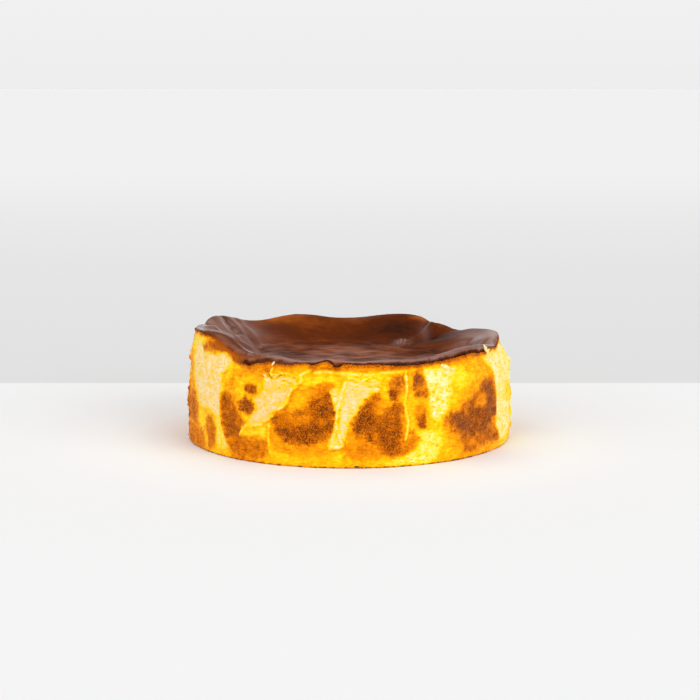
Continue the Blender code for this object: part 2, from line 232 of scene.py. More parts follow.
# Where the skin's fat shines more or less.
SKIN_SHINES = (
    ((-56, 12), (18, 34), 0.56), ((60, 4), (10, 24), 0.42), ((4, 51), (50, 20), -0.5),
    ((39, 32), (12, 12), -0.5), ((-3, -70), (8, 6), -0.45), ((49, 18), (6, 10), -0.2),
    ((0, -66), (60, 12), 0.5), ((34, 6), (10, 10), -0.2), ((-30, 8), (12, 8), -0.1),
    ((24.5, 30), (4, 6), 0.95), ((37.5, 44), (3.4, 10.5), 0.9), ((44, 29), (6, 11), -0.3),
    ((-56, -46), (14, 17), -0.62), ((70, 2), (8, 22), -0.6),
)
# Painted sheen: where a mauve-grey reflection is painted into the skin's colour, on the rims, the lip, the
# ridge and the bubbles.
SKIN_PAINTED_SHEEN = (
    ((-56, 14), (16, 30), 0.9), ((59, 4), (9, 22), 0.7), ((-10, -69), (50, 10), 0.75),
    ((56, -40), (24, 30), 0.85), ((35.8, 41), (2.4, 11), 0.45), ((24.5, 30), (4, 5), 0.5),
    ((-3, -70), (8, 6), -0.45),
)
# Painted shade along the skin's grooves and crevices, as dark lines in plan: how much darker, half-width,
# points.
SKIN_GROOVE_SHADE = (
    (0.24, 3.4, ((-60, 34), (-56, 28.5), (-51.5, 25.5), (-47, 22.5))),
    (0.14, 2, ((-62, 8), (-56, -3), (-50, -13))),
    (0.26, 1.6, ((-40, 15), (-30, 7.5), (-22.8, 4))),
    (0.26, 1.4, ((-25, -18.5), (-20, -16.8), (-14, -15.5))),
    (0.24, 1.5, ((-11, 11.6), (-6, 7), (-1, 2.6))),
    (0.22, 1.6, ((56.6, 5.7), (59.8, -0.7), (62, -8))),
)

# --- What the oven did to the side. How far it is baked goes from 0 (pale cream) to 1 (burnt).
PALE = 0.14
NOT_PALE = 0.34
GOLDEN = 0.42
RUSTY = 0.67
CAUGHT = 0.84
SCORCHED = 0.86
TINTS = ("baked", "peach", "mauve")
BLOTCH_POINTS = 13


class Area:
    """An area of the side: how far baked, the softness of its edge, and its outline as points of bearing
    and height; how much of its pale is peach and not lemon, how mauve it is, and how far it is sunk."""

    def __init__(self, baked, blur, *outline, peach=0.0, mauve=0.0, sunk=0.0):
        self.baked = baked
        self.blur = blur
        self.outline = outline
        self.peach = peach
        self.mauve = mauve
        self.sunk = sunk


# The side as the photograph shows it. Later areas lie over earlier ones.
FRONT_AREAS = (
    # The left flank, and the cream field beside it.
    Area(0.52, 3, (-98, 53), (-70, 51), (-69, 40), (-70, 30), (-68, 24), (-62, 12), (-60, -2), (-98, -2),
        peach=0.2),
    Area(0.24, 1.6, (-80, 52), (-64, 52), (-60, 49), (-62, 45), (-71, 42), (-79, 42), peach=0.3),
    Area(0.06, 0.9, (-73, 46), (-67, 46.8), (-62, 44), (-57, 43.4), (-52, 44.2), (-47, 44.6), (-43, 41),
        (-42, 37), (-44.8, 36.4), (-46.8, 33.8), (-48.2, 29), (-48.7, 24), (-48.3, 18), (-47.4, 14),
        (-46, 9), (-44.4, 5.4), (-46.4, 3.8), (-50.4, 4.4), (-51.2, 10), (-52.2, 17), (-55, 19), (-58, 20),
        (-61, 19), (-65, 19), (-67.5, 23), (-70.5, 28), (-73, 33), (-71, 37), (-73.5, 40), (-71, 43),
        peach=0.8, sunk=0.4),
    Area(0.19, 1.2, (-52, 17), (-48.2, 18), (-47, 12), (-44.8, 5.4), (-50.4, 4.6), peach=0.1, sunk=0.3),
    Area(0.34, 1.6, (-65, 18), (-60, 18), (-59, 14), (-60.5, 9), (-64, 9), peach=0.5),
    Area(0.73, 1.2, (-84, 24), (-69, 24.5), (-65.5, 18), (-67, 11), (-84, 10), mauve=0.1),
    Area(0.69, 1.2, (-80, 9), (-66, 10.4), (-61, 9.6), (-59.4, 5), (-60, 0), (-80, 0)),
    Area(0.6, 1.4, (-82, 41), (-76, 40.5), (-74.5, 37), (-76, 34.5), (-82, 34)),
    Area(0.76, 1, (-64.6, 45.8), (-62, 47.6), (-58, 48.8), (-54.6, 48.4), (-54.6, 45.6), (-58.4, 44.8),
        (-63, 43.8), mauve=0.2),
    Area(0.71, 0.8, (-58.8, 14.7), (-55.6, 17), (-53.2, 16), (-52.2, 10.8), (-53, 3), (-56.8, 1),
        (-58.4, 7.2)),
    # The first brown patch with its spots.
    Area(0.42, 1.5, (-49, 36), (-46, 41), (-36, 42.5), (-29, 41.5), (-28.5, 36), (-31.5, 33), (-32.5, 28),
        (-32, 22), (-36, 15), (-40, 8), (-45, 5), (-47.6, 14), peach=0.2),
    Area(0.74, 0.9, (-35.4, 39.9), (-31.7, 42), (-27.8, 42), (-27.2, 38.4), (-30.2, 37), (-33.2, 38)),
    Area(0.56, 1, (-43, 38), (-38, 40.3), (-33, 41), (-29.2, 41), (-28.8, 38.4), (-33, 37.2), (-40, 36.4)),
    Area(0.55, 1, (-48.2, 25), (-47, 31), (-44.6, 35.2), (-42, 35), (-41.4, 31), (-41, 27), (-45, 24)),
    Area(0.64, 1.2, (-45.8, 9), (-42, 9.8), (-37.4, 10.8), (-31.2, 12), (-27.8, 10.4), (-27.4, 4), (-30, 1),
        (-36, 0.2), (-42.6, 1)),
    Area(0.74, 1.2, (-48.6, 27.5), (-46.4, 29), (-44.3, 28.1), (-42.2, 25.4), (-40.6, 21.4), (-38.4, 19.3),
        (-37.8, 16), (-38.2, 12.5), (-39.6, 9), (-40, 6), (-44, 5.6), (-46.6, 11), (-48, 18.3)),
    Area(0.72, 1, (-44.2, 8), (-38, 9), (-33, 9.8), (-29.6, 8.6), (-29, 4.4), (-33, 2.4), (-38, 1.8),
        (-42.8, 3)),
    Area(0.85, 1.6, (-46.8, 19), (-43.6, 21), (-40.6, 19), (-39.6, 14.5), (-41.6, 11), (-44.4, 11.6),
        (-46.4, 14.6), mauve=0.1),
    Area(0.82, 0.9, (-47.6, 26), (-44.6, 27), (-43.4, 24.6), (-45, 22.6), (-47.4, 23)),
    Area(0.87, 0.5, (-38.3, 32.6), (-35.5, 34), (-32.8, 33), (-32.2, 30.6), (-34.3, 29.8), (-37, 30)),
    Area(0.88, 0.6, (-39.7, 25.2), (-37.8, 27.6), (-34.9, 26.6), (-33.2, 25.4), (-33.2, 22), (-36, 20.2),
        (-39, 21.8), mauve=0.1),
    # The peach field between the first two patches.
    Area(0.09, 0.6, (-29.4, 35.5), (-28, 38), (-24, 38.6), (-17, 38.4), (-16.2, 36.6), (-18, 34.4),
        (-19.8, 31), (-20.8, 28), (-22.4, 25.4), (-25, 23.4), (-26, 20.8), (-28.8, 18.6), (-33, 16.6),
        (-36.4, 16.2), (-35, 18.6), (-34, 21), (-32.6, 25), (-33, 28), (-31, 30), (-29.8, 33), peach=1,
        sunk=0.7),
    Area(0.28, 0.9, (-38.4, 14.8), (-33.1, 15.3), (-28.6, 16.3), (-28.4, 12.6), (-33.2, 12), (-38, 11.6),
        peach=0.2, sunk=0.2),
    # The second patch.
    Area(0.34, 1.6, (-19, 34), (-17, 39.4), (-8, 39), (-5, 37), (-8, 35), (-14, 34.5)),
    Area(0.57, 1.1, (-21, 26.4), (-19.4, 32), (-17, 34.4), (-12, 34.6), (-8.4, 37), (-5, 36), (-4.6, 31),
        (-3.4, 25), (-4.4, 19), (-6.4, 12), (-8, 6), (-14, 4.4), (-20, 5), (-26, 6.4), (-27.2, 11),
        (-27.4, 17), (-26, 22.6)),
    Area(0.46, 1, (-20.6, 24), (-19.8, 28), (-17, 32), (-13.4, 31.6), (-13.8, 27.4), (-16.4, 25.6)),
    Area(0.8, 0.8, (-24.8, 21), (-23.4, 22.4), (-20, 23.4), (-16.4, 24.4), (-13.8, 26.2), (-12.4, 30.4),
        (-10.3, 31.3), (-8.6, 31.6), (-6.4, 33.2), (-5.4, 31), (-5.7, 28.5), (-4.3, 25.1), (-4.3, 20.9),
        (-5.7, 15.7), (-8, 12.2), (-11.4, 10), (-16.5, 9.6), (-21.4, 10.4), (-23.8, 14.5), (-25.4, 18.6)),
    Area(0.64, 0.9, (-22.4, 20.6), (-19.9, 22.2), (-14.4, 23), (-11.8, 21.4), (-16.4, 18.6), (-20.6, 18.8)),
    Area(0.91, 1.2, (-24.2, 16.2), (-19.9, 15.9), (-16.4, 16.4), (-10.3, 17.2), (-8.8, 14), (-12.4, 12),
        (-18.2, 11), (-22.4, 11.8)),
    Area(0.86, 1.2, (-11, 28.6), (-7.7, 30.4), (-5.8, 28.5), (-4.8, 24.3), (-7, 21.2), (-10.6, 22.4)),
    Area(0.68, 0.9, (-9.6, 35.6), (-5.7, 35.7), (-5.4, 32.7), (-9, 31.8)),
    # The two creams at the middle, either side of a folded ridge.
    Area(0.1, 0.5, (-5.9, 33), (-3.4, 34.4), (-2.6, 31), (-3, 27), (-3.9, 24.4), (-4.5, 25.2), (-5.4, 28.5),
        peach=0.5, sunk=0.5),
    Area(0.13, 0.7, (-4.4, 19), (-5.2, 15), (-6.2, 10.4), (-6.6, 8.4), (-4, 8.6), (-2.2, 10), (-3, 14),
        (-3.8, 18), peach=0.4, sunk=0.4),
    Area(0.08, 0.6, (-2, 36.6), (2, 37), (6, 36.6), (10, 37), (10.2, 33.4), (8.2, 31), (5.4, 28.4),
        (4, 25.4), (2.6, 22.8), (0.6, 20.2), (-0.4, 17), (-1.4, 12), (-2.4, 14), (-3.4, 19), (-3.1, 24),
        (-2.4, 30), peach=0.9, sunk=0.6),
    Area(0.22, 1, (-2, 40), (4, 39.4), (10, 40), (11, 37.6), (4, 37.6), (-1.5, 38), peach=0.1),
    # An orange tongue of custard that stands up under the lip.
    Area(0.6, 0.5, (-11.2, 42.4), (-9, 43.6), (-7.2, 45.4), (-6, 44.6), (-4.6, 42.4), (-6, 41.4),
        (-9, 41.4), sunk=-0.6),
    # The third patch, with its tail and the spots over it.
    Area(0.55, 1, (0.4, 20.4), (-0.4, 15), (-1.4, 8), (1, 4.6), (8, 4.2), (14, 3.8), (20, 4.4), (23.5, 8.6),
        (25.2, 12.6), (22, 14.4), (19.6, 14), (19.3, 20), (18.6, 25.6), (16, 29), (12, 29.4), (10, 32),
        (7, 30.6), (4.4, 28.4), (3.4, 24.6)),
    Area(0.63, 1, (-1.6, 9), (1, 13.4), (5.1, 12.8), (8.7, 9), (10, 4.4), (3.4, 3.6), (-1.2, 4.4)),
    Area(0.79, 0.8, (4, 26), (6, 29.3), (8.7, 32), (10.4, 30.4), (9.4, 28.2), (10.4, 26), (12.7, 25.6),
        (15.4, 27.2), (17.2, 26.4), (17.9, 22), (18.2, 18.1), (17.2, 14.4), (16.6, 12), (18.4, 9),
        (17.4, 5.4), (14, 5.2), (11.7, 5.8), (9.4, 8.7), (5.4, 12.3), (1.7, 14.6), (1.1, 18.8), (2.6, 22)),
    Area(0.62, 0.8, (7.6, 26.4), (10, 27), (13, 24.6), (12, 22.4), (8.6, 22.8)),
    Area(0.92, 1.2, (4.1, 25.4), (6.9, 25.4), (8, 20.8), (5.4, 16.4), (1.9, 15.8), (1.9, 19.2)),
    Area(0.9, 1.3, (9.3, 18.6), (14, 18.6), (16.8, 15.1), (16.1, 9.6), (13.4, 6.8), (11.4, 12)),
    Area(0.68, 0.8, (17.8, 5.2), (20.4, 6), (22, 9), (24, 12), (22.8, 13), (20, 11), (17.6, 9.4)),
    Area(0.66, 0.8, (13.2, 35), (14.8, 38), (16.4, 39), (18.5, 38.6), (18.8, 35), (18.2, 31.8), (16, 28.6),
        (13.6, 29.4), mauve=0.1),
    Area(0.84, 0.6, (15.8, 37.8), (18.2, 37.8), (18, 34.2), (15.8, 34.8), mauve=0.3),
    Area(0.86, 0.6, (13.4, 32.8), (15.4, 33.6), (16, 29), (13.6, 28.8)),
    Area(0.44, 1.4, (20.4, 40), (27.6, 40), (28.6, 34), (27.6, 27), (28, 21), (27, 15), (23, 14.4),
        (20.4, 18), (20.2, 28)),
    Area(0.69, 0.8, (22, 38), (23.6, 39.4), (25.6, 39), (27, 35.5), (27.3, 29.6), (24.8, 28.4),
        (22.6, 29.4), (21.8, 33), mauve=0.1),
    Area(0.88, 0.6, (22.4, 38.4), (25, 38.6), (25.4, 34.6), (22.8, 34.4), mauve=0.5),
    Area(0.84, 0.7, (22.6, 32), (26.9, 32), (26.6, 29), (22.9, 29.2)),
    Area(0.64, 0.8, (22.4, 26), (26.2, 26.6), (27, 21.9), (26.7, 16.4), (23.7, 16), (22.5, 20.6)),
    Area(0.84, 0.7, (23.2, 20.8), (26.2, 21), (25.9, 16.6), (23.7, 16.8)),
    Area(0.7, 0.4, (20.4, 15.8), (21.8, 15.8), (21.8, 14.4), (20.4, 14.4)),
    # The lemon creams at the right of it.
    Area(0.09, 0.9, (25.6, 41.3), (28.6, 42.3), (34.6, 41.8), (39, 40), (38.4, 36.4), (36.8, 33.2),
        (36.4, 27), (34.6, 21.8), (31.6, 18.4), (28.6, 20), (28.4, 27.7), (27.8, 32.9), (26.6, 37.4),
        peach=0.2, sunk=0.3),
    Area(0.16, 1.1, (23.6, 13.4), (27, 14.6), (31, 13), (32.4, 9), (31.4, 5), (30, 2.2), (25, 1.4),
        (19, 1.2), (12, 1.4), (16, 3.2), (20.6, 4.6), (23, 7.6), (25, 11), sunk=0.2),
    Area(0.3, 1.6, (39, 40), (43, 40), (45, 35), (42, 31), (39, 33)),
    # The fourth patch, on the right flank.
    Area(0.54, 1.4, (32, 16.6), (34.6, 21.4), (38, 23.4), (41, 27.6), (45, 31.4), (49, 35), (53, 37),
        (58, 38.4), (60.4, 36), (60.7, 25), (61, 18), (61.4, 10), (65, 6.4), (68, 3), (62, 0), (50, 0),
        (40, 0.4), (36.4, 6), (34.6, 12)),
    Area(0.5, 1.8, (42, 41), (50, 43), (57.6, 43), (58.6, 36), (54, 33), (49, 34)),
    Area(0.77, 1.1, (33.6, 18.2), (36.5, 20.8), (40, 21.4), (44.8, 25.8), (50.1, 29.4), (53.1, 33.2),
        (57.9, 32), (59.5, 27), (59.9, 22.6), (59.7, 17.3), (58.6, 13.6), (60, 9.8), (64.3, 7.2),
        (63.4, 4.6), (58, 4.4), (50.5, 4.4), (46.1, 2.6), (41.6, 4.6), (40.2, 9), (38.6, 12.6),
        (35.6, 15.2), mauve=0.2),
    Area(0.62, 1, (47.6, 22), (50, 27), (53.8, 27), (54.4, 22.6), (51, 20.4)),
    Area(0.66, 0.9, (42.4, 8), (46.6, 8.4), (50, 6), (46, 4.4), (42.6, 5)),
    Area(0.86, 1.1, (52, 31), (57.6, 31.4), (59.4, 26), (59.8, 18), (57, 15), (53, 16), (54.6, 22),
        (54.4, 27), mauve=0.6),
    Area(0.87, 1, (37, 19.4), (42, 20.4), (47, 17.4), (48, 12), (43, 10.4), (39.4, 14), mauve=0.6),
    Area(0.9, 1.2, (45, 21.4), (52, 21), (57, 15), (53, 10), (46, 11), mauve=0.2),
    # The lemon strip at the right edge.
    Area(0.08, 0.9, (59.6, 48.6), (63, 48.4), (68, 47), (80, 46), (89, 42), (89, 8), (80, 4), (72, 3),
        (66, 3.4), (63, 7.6), (61.2, 11.4), (60.8, 15), (62, 18), (61.4, 22), (61.2, 27), (60.8, 33),
        (59, 38.4), (55.6, 40.2), (54.6, 42), (58.4, 44), peach=0.3, sunk=0.4),
    Area(0.36, 1.4, (73, 27.4), (84, 26), (89, 23), (84, 17), (76, 19.6), (72.4, 23)),
    Area(0.4, 1.2, (62, 2.6), (72, 2.4), (80, 2), (80, -1), (60, -1)),
)

# The browned patches round the back: bearing, height, half-widths across and up, how far baked.
BACK_PATCHES = (
    (101, 19, 13, 13, 0.82), (104, 37, 6, 3.5, 0.66), (128, 25, 9, 11, 0.79), (133, 7, 8, 4, 0.72),
    (156, 16, 14, 11, 0.84), (150, 33, 4, 4, 0.74), (-174, 21, 10, 14, 0.8), (-176, 39, 7, 2.5, 0.6),
    (-146, 25, 10, 12, 0.83), (-152, 6, 9, 4, 0.7), (-118, 17, 14, 13, 0.84), (-123, 37, 5, 4, 0.72),
    (-93, 24, 8, 12, 0.74), (-90, 6, 10, 5, 0.7),
)
# The pale fields between them: bearing, height, half-widths, how peach.
BACK_CREAMS = (
    (89, 26, 7, 15, 0.2), (115, 22, 6, 14, 0.8), (114, 41, 9, 3, 0.4), (142, 27, 6, 13, 0.9),
    (143, 8, 5, 5, 0.3), (171, 27, 7, 13, 0.6), (-160, 26, 7, 14, 0.9), (-158, 38, 8, 3, 0.3),
    (-132, 28, 7, 15, 0.5), (-134, 8, 5, 5, 0.4), (-104, 30, 6, 13, 0.8), (-83, 36, 6, 8, 0.6),
)

# Burnt specks along the foot at the front: bearing and size.
FOOT_SPECKS = (
    (-57, 0.9), (-54.5, 0.7), (-44, 0.8), (-41, 1), (-36, 0.6), (-27, 0.6), (-23.7, 1.1), (-16, 0.8),
    (-11, 0.7), (-8, 0.9), (-5, 0.6), (-1, 0.9), (2.5, 1.5), (4.2, 0.9), (7, 0.6), (15, 0.7), (17.8, 0.9),
    (25.5, 0.6), (31, 0.8), (34, 0.7), (37.5, 1.2), (39.4, 1.1), (42, 0.8), (46, 0.9),
)
# Torn flakes: bearing, height, length and width, turn in degrees.
TORN_FLAKES = (
    (-26.4, 43.3, 2.2, 0.9, 48), (56.6, 45.6, 4.2, 1.7, -58), (58.4, 44.2, 2.4, 1.3, 60),
    (34.5, 41.2, 4.6, 1.6, -24), (37.6, 39.8, 2.2, 0.9, -35), (-29.3, 38, 1.6, 0.7, -30),
    (122, 40.5, 3, 1.3, 35), (-150, 42, 3.4, 1.2, -40), (172, 39.5, 2.6, 1.1, 20),
    (-108, 46.5, 2.8, 1.2, -15),
)


def smooth(start, end, value):
    """0 before start, 1 after end, eased between them."""
    t = np.clip((value - start) / (end - start), 0.0, 1.0)
    return t * t * (3.0 - 2.0 * t)


def turn_between(bearing, centre):
    """Signed turn from centre to bearing, in degrees, within half a circle."""
    return (bearing - centre + 180.0) % 360.0 - 180.0


def hump(distance, half_width=1.0):
    return np.exp(-((distance / half_width) ** 2))


def sum_of_waves(waves, bearing):
    return sum(rise * hump(turn_between(bearing, centre), width) for centre, width, rise in waves)


def read_round(table, bearing):
    """The columns of a table of bearings, each read at these bearings."""
    turns, *columns = zip(*table)
    return [np.interp(turn_between(bearing, 0.0), turns, column) for column in columns]


def rim_height(bearing):
    return CAKE_HEIGHT + MM * sum_of_waves(RIM_WAVES, bearing)


def rim_radius(bearing):
    return RIM_RADIUS + MM * (sum_of_waves(RIM_LEANS, bearing) - sum_of_waves(SKIN_SLUMPS, bearing))


def dish_radius(bearing):
    return DISH_RADIUS + MM * sum_of_waves(DISH_WAVES, bearing)


def lip_foot_height(bearing):
    """Height at which the solid's rounded lip begins."""
    return rim_height(bearing) - LIP_DEPTH - MM * sum_of_waves(SKIN_SPILLS, bearing)


def plan(bearing, radius):
    angle = np.radians(bearing)
    return radius * np.sin(angle), -radius * np.cos(angle)


def in_space(bearing, radius, height):
    return np.stack(np.broadcast_arrays(*plan(bearing, radius), height), axis=-1)


def waver(points, size, seed=0.0):
    """Smooth noise between about -1 and 1 at each point, with features of this size."""
    return np.array([noise.noise(place) for place in (points / size + seed).tolist()])


def distance_to_chain(x, y, points):
    """Shortest distance from each place to a chain of straight stretches."""
    nearest = np.full(np.shape(x), np.inf)
    for (start_x, start_y), (end_x, end_y) in zip(points, points[1:]):
        run_x = end_x - start_x
        run_y = end_y - start_y
        along = ((x - start_x) * run_x + (y - start_y) * run_y) / (run_x * run_x + run_y * run_y)
        along = np.clip(along, 0.0, 1.0)
        away = np.hypot(x - start_x - along * run_x, y - start_y - along * run_y)
        nearest = np.minimum(nearest, away)
    return nearest


def depth_inside(x, y, outline):
    """Distance to an outline, above 0 inside it and below 0 outside."""
    closed = list(outline) + [outline[0]]
    inside = np.zeros(np.shape(x), bool)
    for (start_x, start_y), (end_x, end_y) in zip(closed, closed[1:]):
        if start_y != end_y:
            crossing = (end_x - start_x) * (y - start_y) / (end_y - start_y) + start_x
            inside ^= ((start_y > y) != (end_y > y)) & (x < crossing)
    away = distance_to_chain(x, y, closed)
    return np.where(inside, away, -away)


class Wall:
    """Places on the side in mm, unrolled flat about any bearing."""

    def __init__(self, bearing, height):
        self.bearing = bearing
        self.up = height / MM
        self.points = in_space(bearing, CAKE_RADIUS, height) / MM

    def aside(self, centre):
        """How far round the side each place is from a bearing."""
        return turn_between(self.bearing, centre) * MM_PER_DEGREE

    def unrolled(self, outline):
        """The places' and the outline's coordinates on the flat, with no seam near the outline."""
        centre = sum(bearing for bearing, _ in outline) / len(outline)
        flat = [((bearing - centre) * MM_PER_DEGREE, up) for bearing, up in outline]
        return self.aside(centre), self.up, flat

    def distance(self, crease):
        return distance_to_chain(*self.unrolled(crease))

    def depth(self, outline):
        return depth_inside(*self.unrolled(outline))

    def waver(self, size, seed, tall=1.0):
        """Noise over the side whose features are this size across and tall times as high."""
        return waver(self.points * (1.0, 1.0, 1.0 / tall), size, seed)


# --- The solid's own surface.
def solid_relief(wall):
    """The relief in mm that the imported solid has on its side."""
    relief = CREASE_RISE * hump(np.min([wall.distance(crease) for crease in SIDE_CREASES], axis=0),
                                CREASE_HALF_WIDTH)
    pressed = np.zeros(wall.up.shape)
    for centre, middle, half_across, half_up in PRESSED_PATCHES:
        off_middle = (wall.aside(centre) / half_across) ** 2 + ((wall.up - middle) / half_up) ** 2
        pressed = np.maximum(pressed, hump(off_middle))
    for centre, middle, half_width, rise in FLAKES:
        relief += rise * hump(np.hypot(wall.aside(centre), wall.up - middle), half_width)
    angle = np.radians(wall.bearing)
    slow = np.stack([3.2 * np.sin(angle), 3.2 * np.cos(angle), wall.up / 20.0], axis=-1)
    return relief + PRESSED_RISE * pressed + SIDE_WAVER * (waver(slow, 1.0) - 1.0)


def side_radius(bearing, height):
    """Radius of the solid's side at a height up to the lip's foot."""
    even = height * LIP_FOOT / lip_foot_height(bearing)
    above_shoulder = smooth(SHOULDER, LIP_FOOT, even)
    drawn_in = CAKE_RADIUS - RIM_RADIUS - LIP_WIDTH - MM * sum_of_waves(RIM_LEANS, bearing)
    radius = CAKE_RADIUS - drawn_in * above_shoulder + FOOT_FLARE * (1.0 - smooth(0.0, SHOULDER, even))
    return radius + MM * solid_relief(Wall(bearing, height)) * (1.0 - 0.7 * above_shoulder)


def outer_radius(bearing, height):
    """Radius of the solid's outside at a height: its side, and then its lip up to the rim."""
    low = lip_foot_height(bearing)
    upward = np.clip((height - low) / (rim_height(bearing) - low), 0.0, 1.0)
    inward = 1.0 - np.sqrt(1.0 - upward * upward)
    radius = side_radius(bearing, np.minimum(height, low))
    return radius + (rim_radius(bearing) - radius) * inward


def fold_relief(x, y):
    """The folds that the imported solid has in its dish, all in mm."""
    relief = DISH_WAVER * waver(np.stack([x / 21.0, y / 16.0, np.full(x.shape, 0.4)], axis=-1), 1.0)
    for start, end, half_width, rise in DISH_FOLDS:
        relief += rise * hump(distance_to_chain(x, y, (start, end)), half_width)
    return relief


def dish_place(bearing, way_up, way_out):
    """Radius and height on the dish: way_up climbs its wall, way_out crosses its floor."""
    foot = dish_radius(bearing)
    radius = foot * way_out + (rim_radius(bearing) - foot) * way_up
    hollow = way_up ** 1.12
    full = 1.0 - (1.0 - way_up) ** 1.8
    climb = hollow + (full - hollow) * sum_of_waves(FULL_WALLS, bearing)
    height = DISH_HEIGHT + (rim_height(bearing) - DISH_HEIGHT) * climb
    height -= DISH_SAG * (1.0 - way_out * way_out)
    held = 1.0 - smooth(0.85, 1.0, way_up)
    return radius, height + held * MM * fold_relief(*plan(bearing, radius / MM))


def standing_shift():
    """How far the settled cake is moved to stand with the middle of its box over the origin."""
    bearing = np.arange(180) * 2.0 + 90.0
    rings = [plan(bearing, side_radius(bearing, part * lip_foot_height(bearing)))
             for part in np.linspace(0.0, 1.0, 11)[:-1]]
    every = np.concatenate(rings, axis=1)
    return -(every.min(axis=1) + every.max(axis=1)) / 2.0


SHIFT = standing_shift()


# --- The bake of the side, and the fine relief that goes with it.
def blotch(bearing, middle, half_across, half_up, draw):
    """An uneven round outline on the side."""
    outline = []
    for step in range(BLOTCH_POINTS):
        angle = step * math.tau / BLOTCH_POINTS + draw.uniform(-0.15, 0.15)
        reach = draw.uniform(0.60, 1.30)
        across = half_across * reach * math.cos(angle)
        outline.append((bearing + across / MM_PER_DEGREE, middle + half_up * reach * math.sin(angle)))
    return outline


def back_areas():
    """Areas for the side that the photograph doesn't show, after the ones that it does."""
    draw = random.Random(41)
    areas = []
    for bearing, middle, across, up, _ in BACK_PATCHES:
        around = blotch(bearing + draw.uniform(-4, 4), middle - 0.1 * up, across * 1.4, up * 1.3, draw)
        areas.append(Area(0.55, 2.0, *around))
    for bearing, middle, across, up, peach in BACK_CREAMS:
        areas.append(Area(0.12, 0.9, *blotch(bearing, middle, across, up, draw), peach=peach, sunk=0.5))
    for bearing, middle, across, up, baked in BACK_PATCHES:
        areas.append(Area(baked, 0.9, *blotch(bearing, middle, across, up, draw)))
        core = blotch(bearing + draw.uniform(-2, 2), middle - 0.15 * up, across * 0.55, up * 0.55, draw)
        areas.append(Area(min(baked + 0.09, 0.92), 1.3, *core, mauve=draw.choice((0.0, 0.0, 0.5))))
        gap = blotch(bearing + draw.uniform(-6, 6), middle + draw.uniform(0.1, 0.5) * up, across * 0.45,
                     up * 0.26, draw)
        areas.append(Area(0.62, 0.9, *gap))
        for _ in range(2):
            beside = bearing + draw.choice((-1, 1)) * across * 1.35 / MM_PER_DEGREE
            spot = blotch(beside, middle + draw.uniform(-0.8, 0.8) * up, 2.2, 2.4, draw)
            areas.append(Area(0.74, 0.8, *spot))
    return areas


def skin_edge_height(bearing):
    """Height at which the burnt skin ends, ragged as it is."""
    hang, = read_round(SKIN_HANG, bearing)
    ring = in_space(bearing, CAKE_RADIUS, 0.0) / MM
    ragged = 0.32 * waver(ring, 3.2, 7.3) + 0.24 * waver(ring, 1.5, 2.1)
    return rim_height(bearing) - MM * (hang - ragged * smooth(0.3, 2.0, hang))


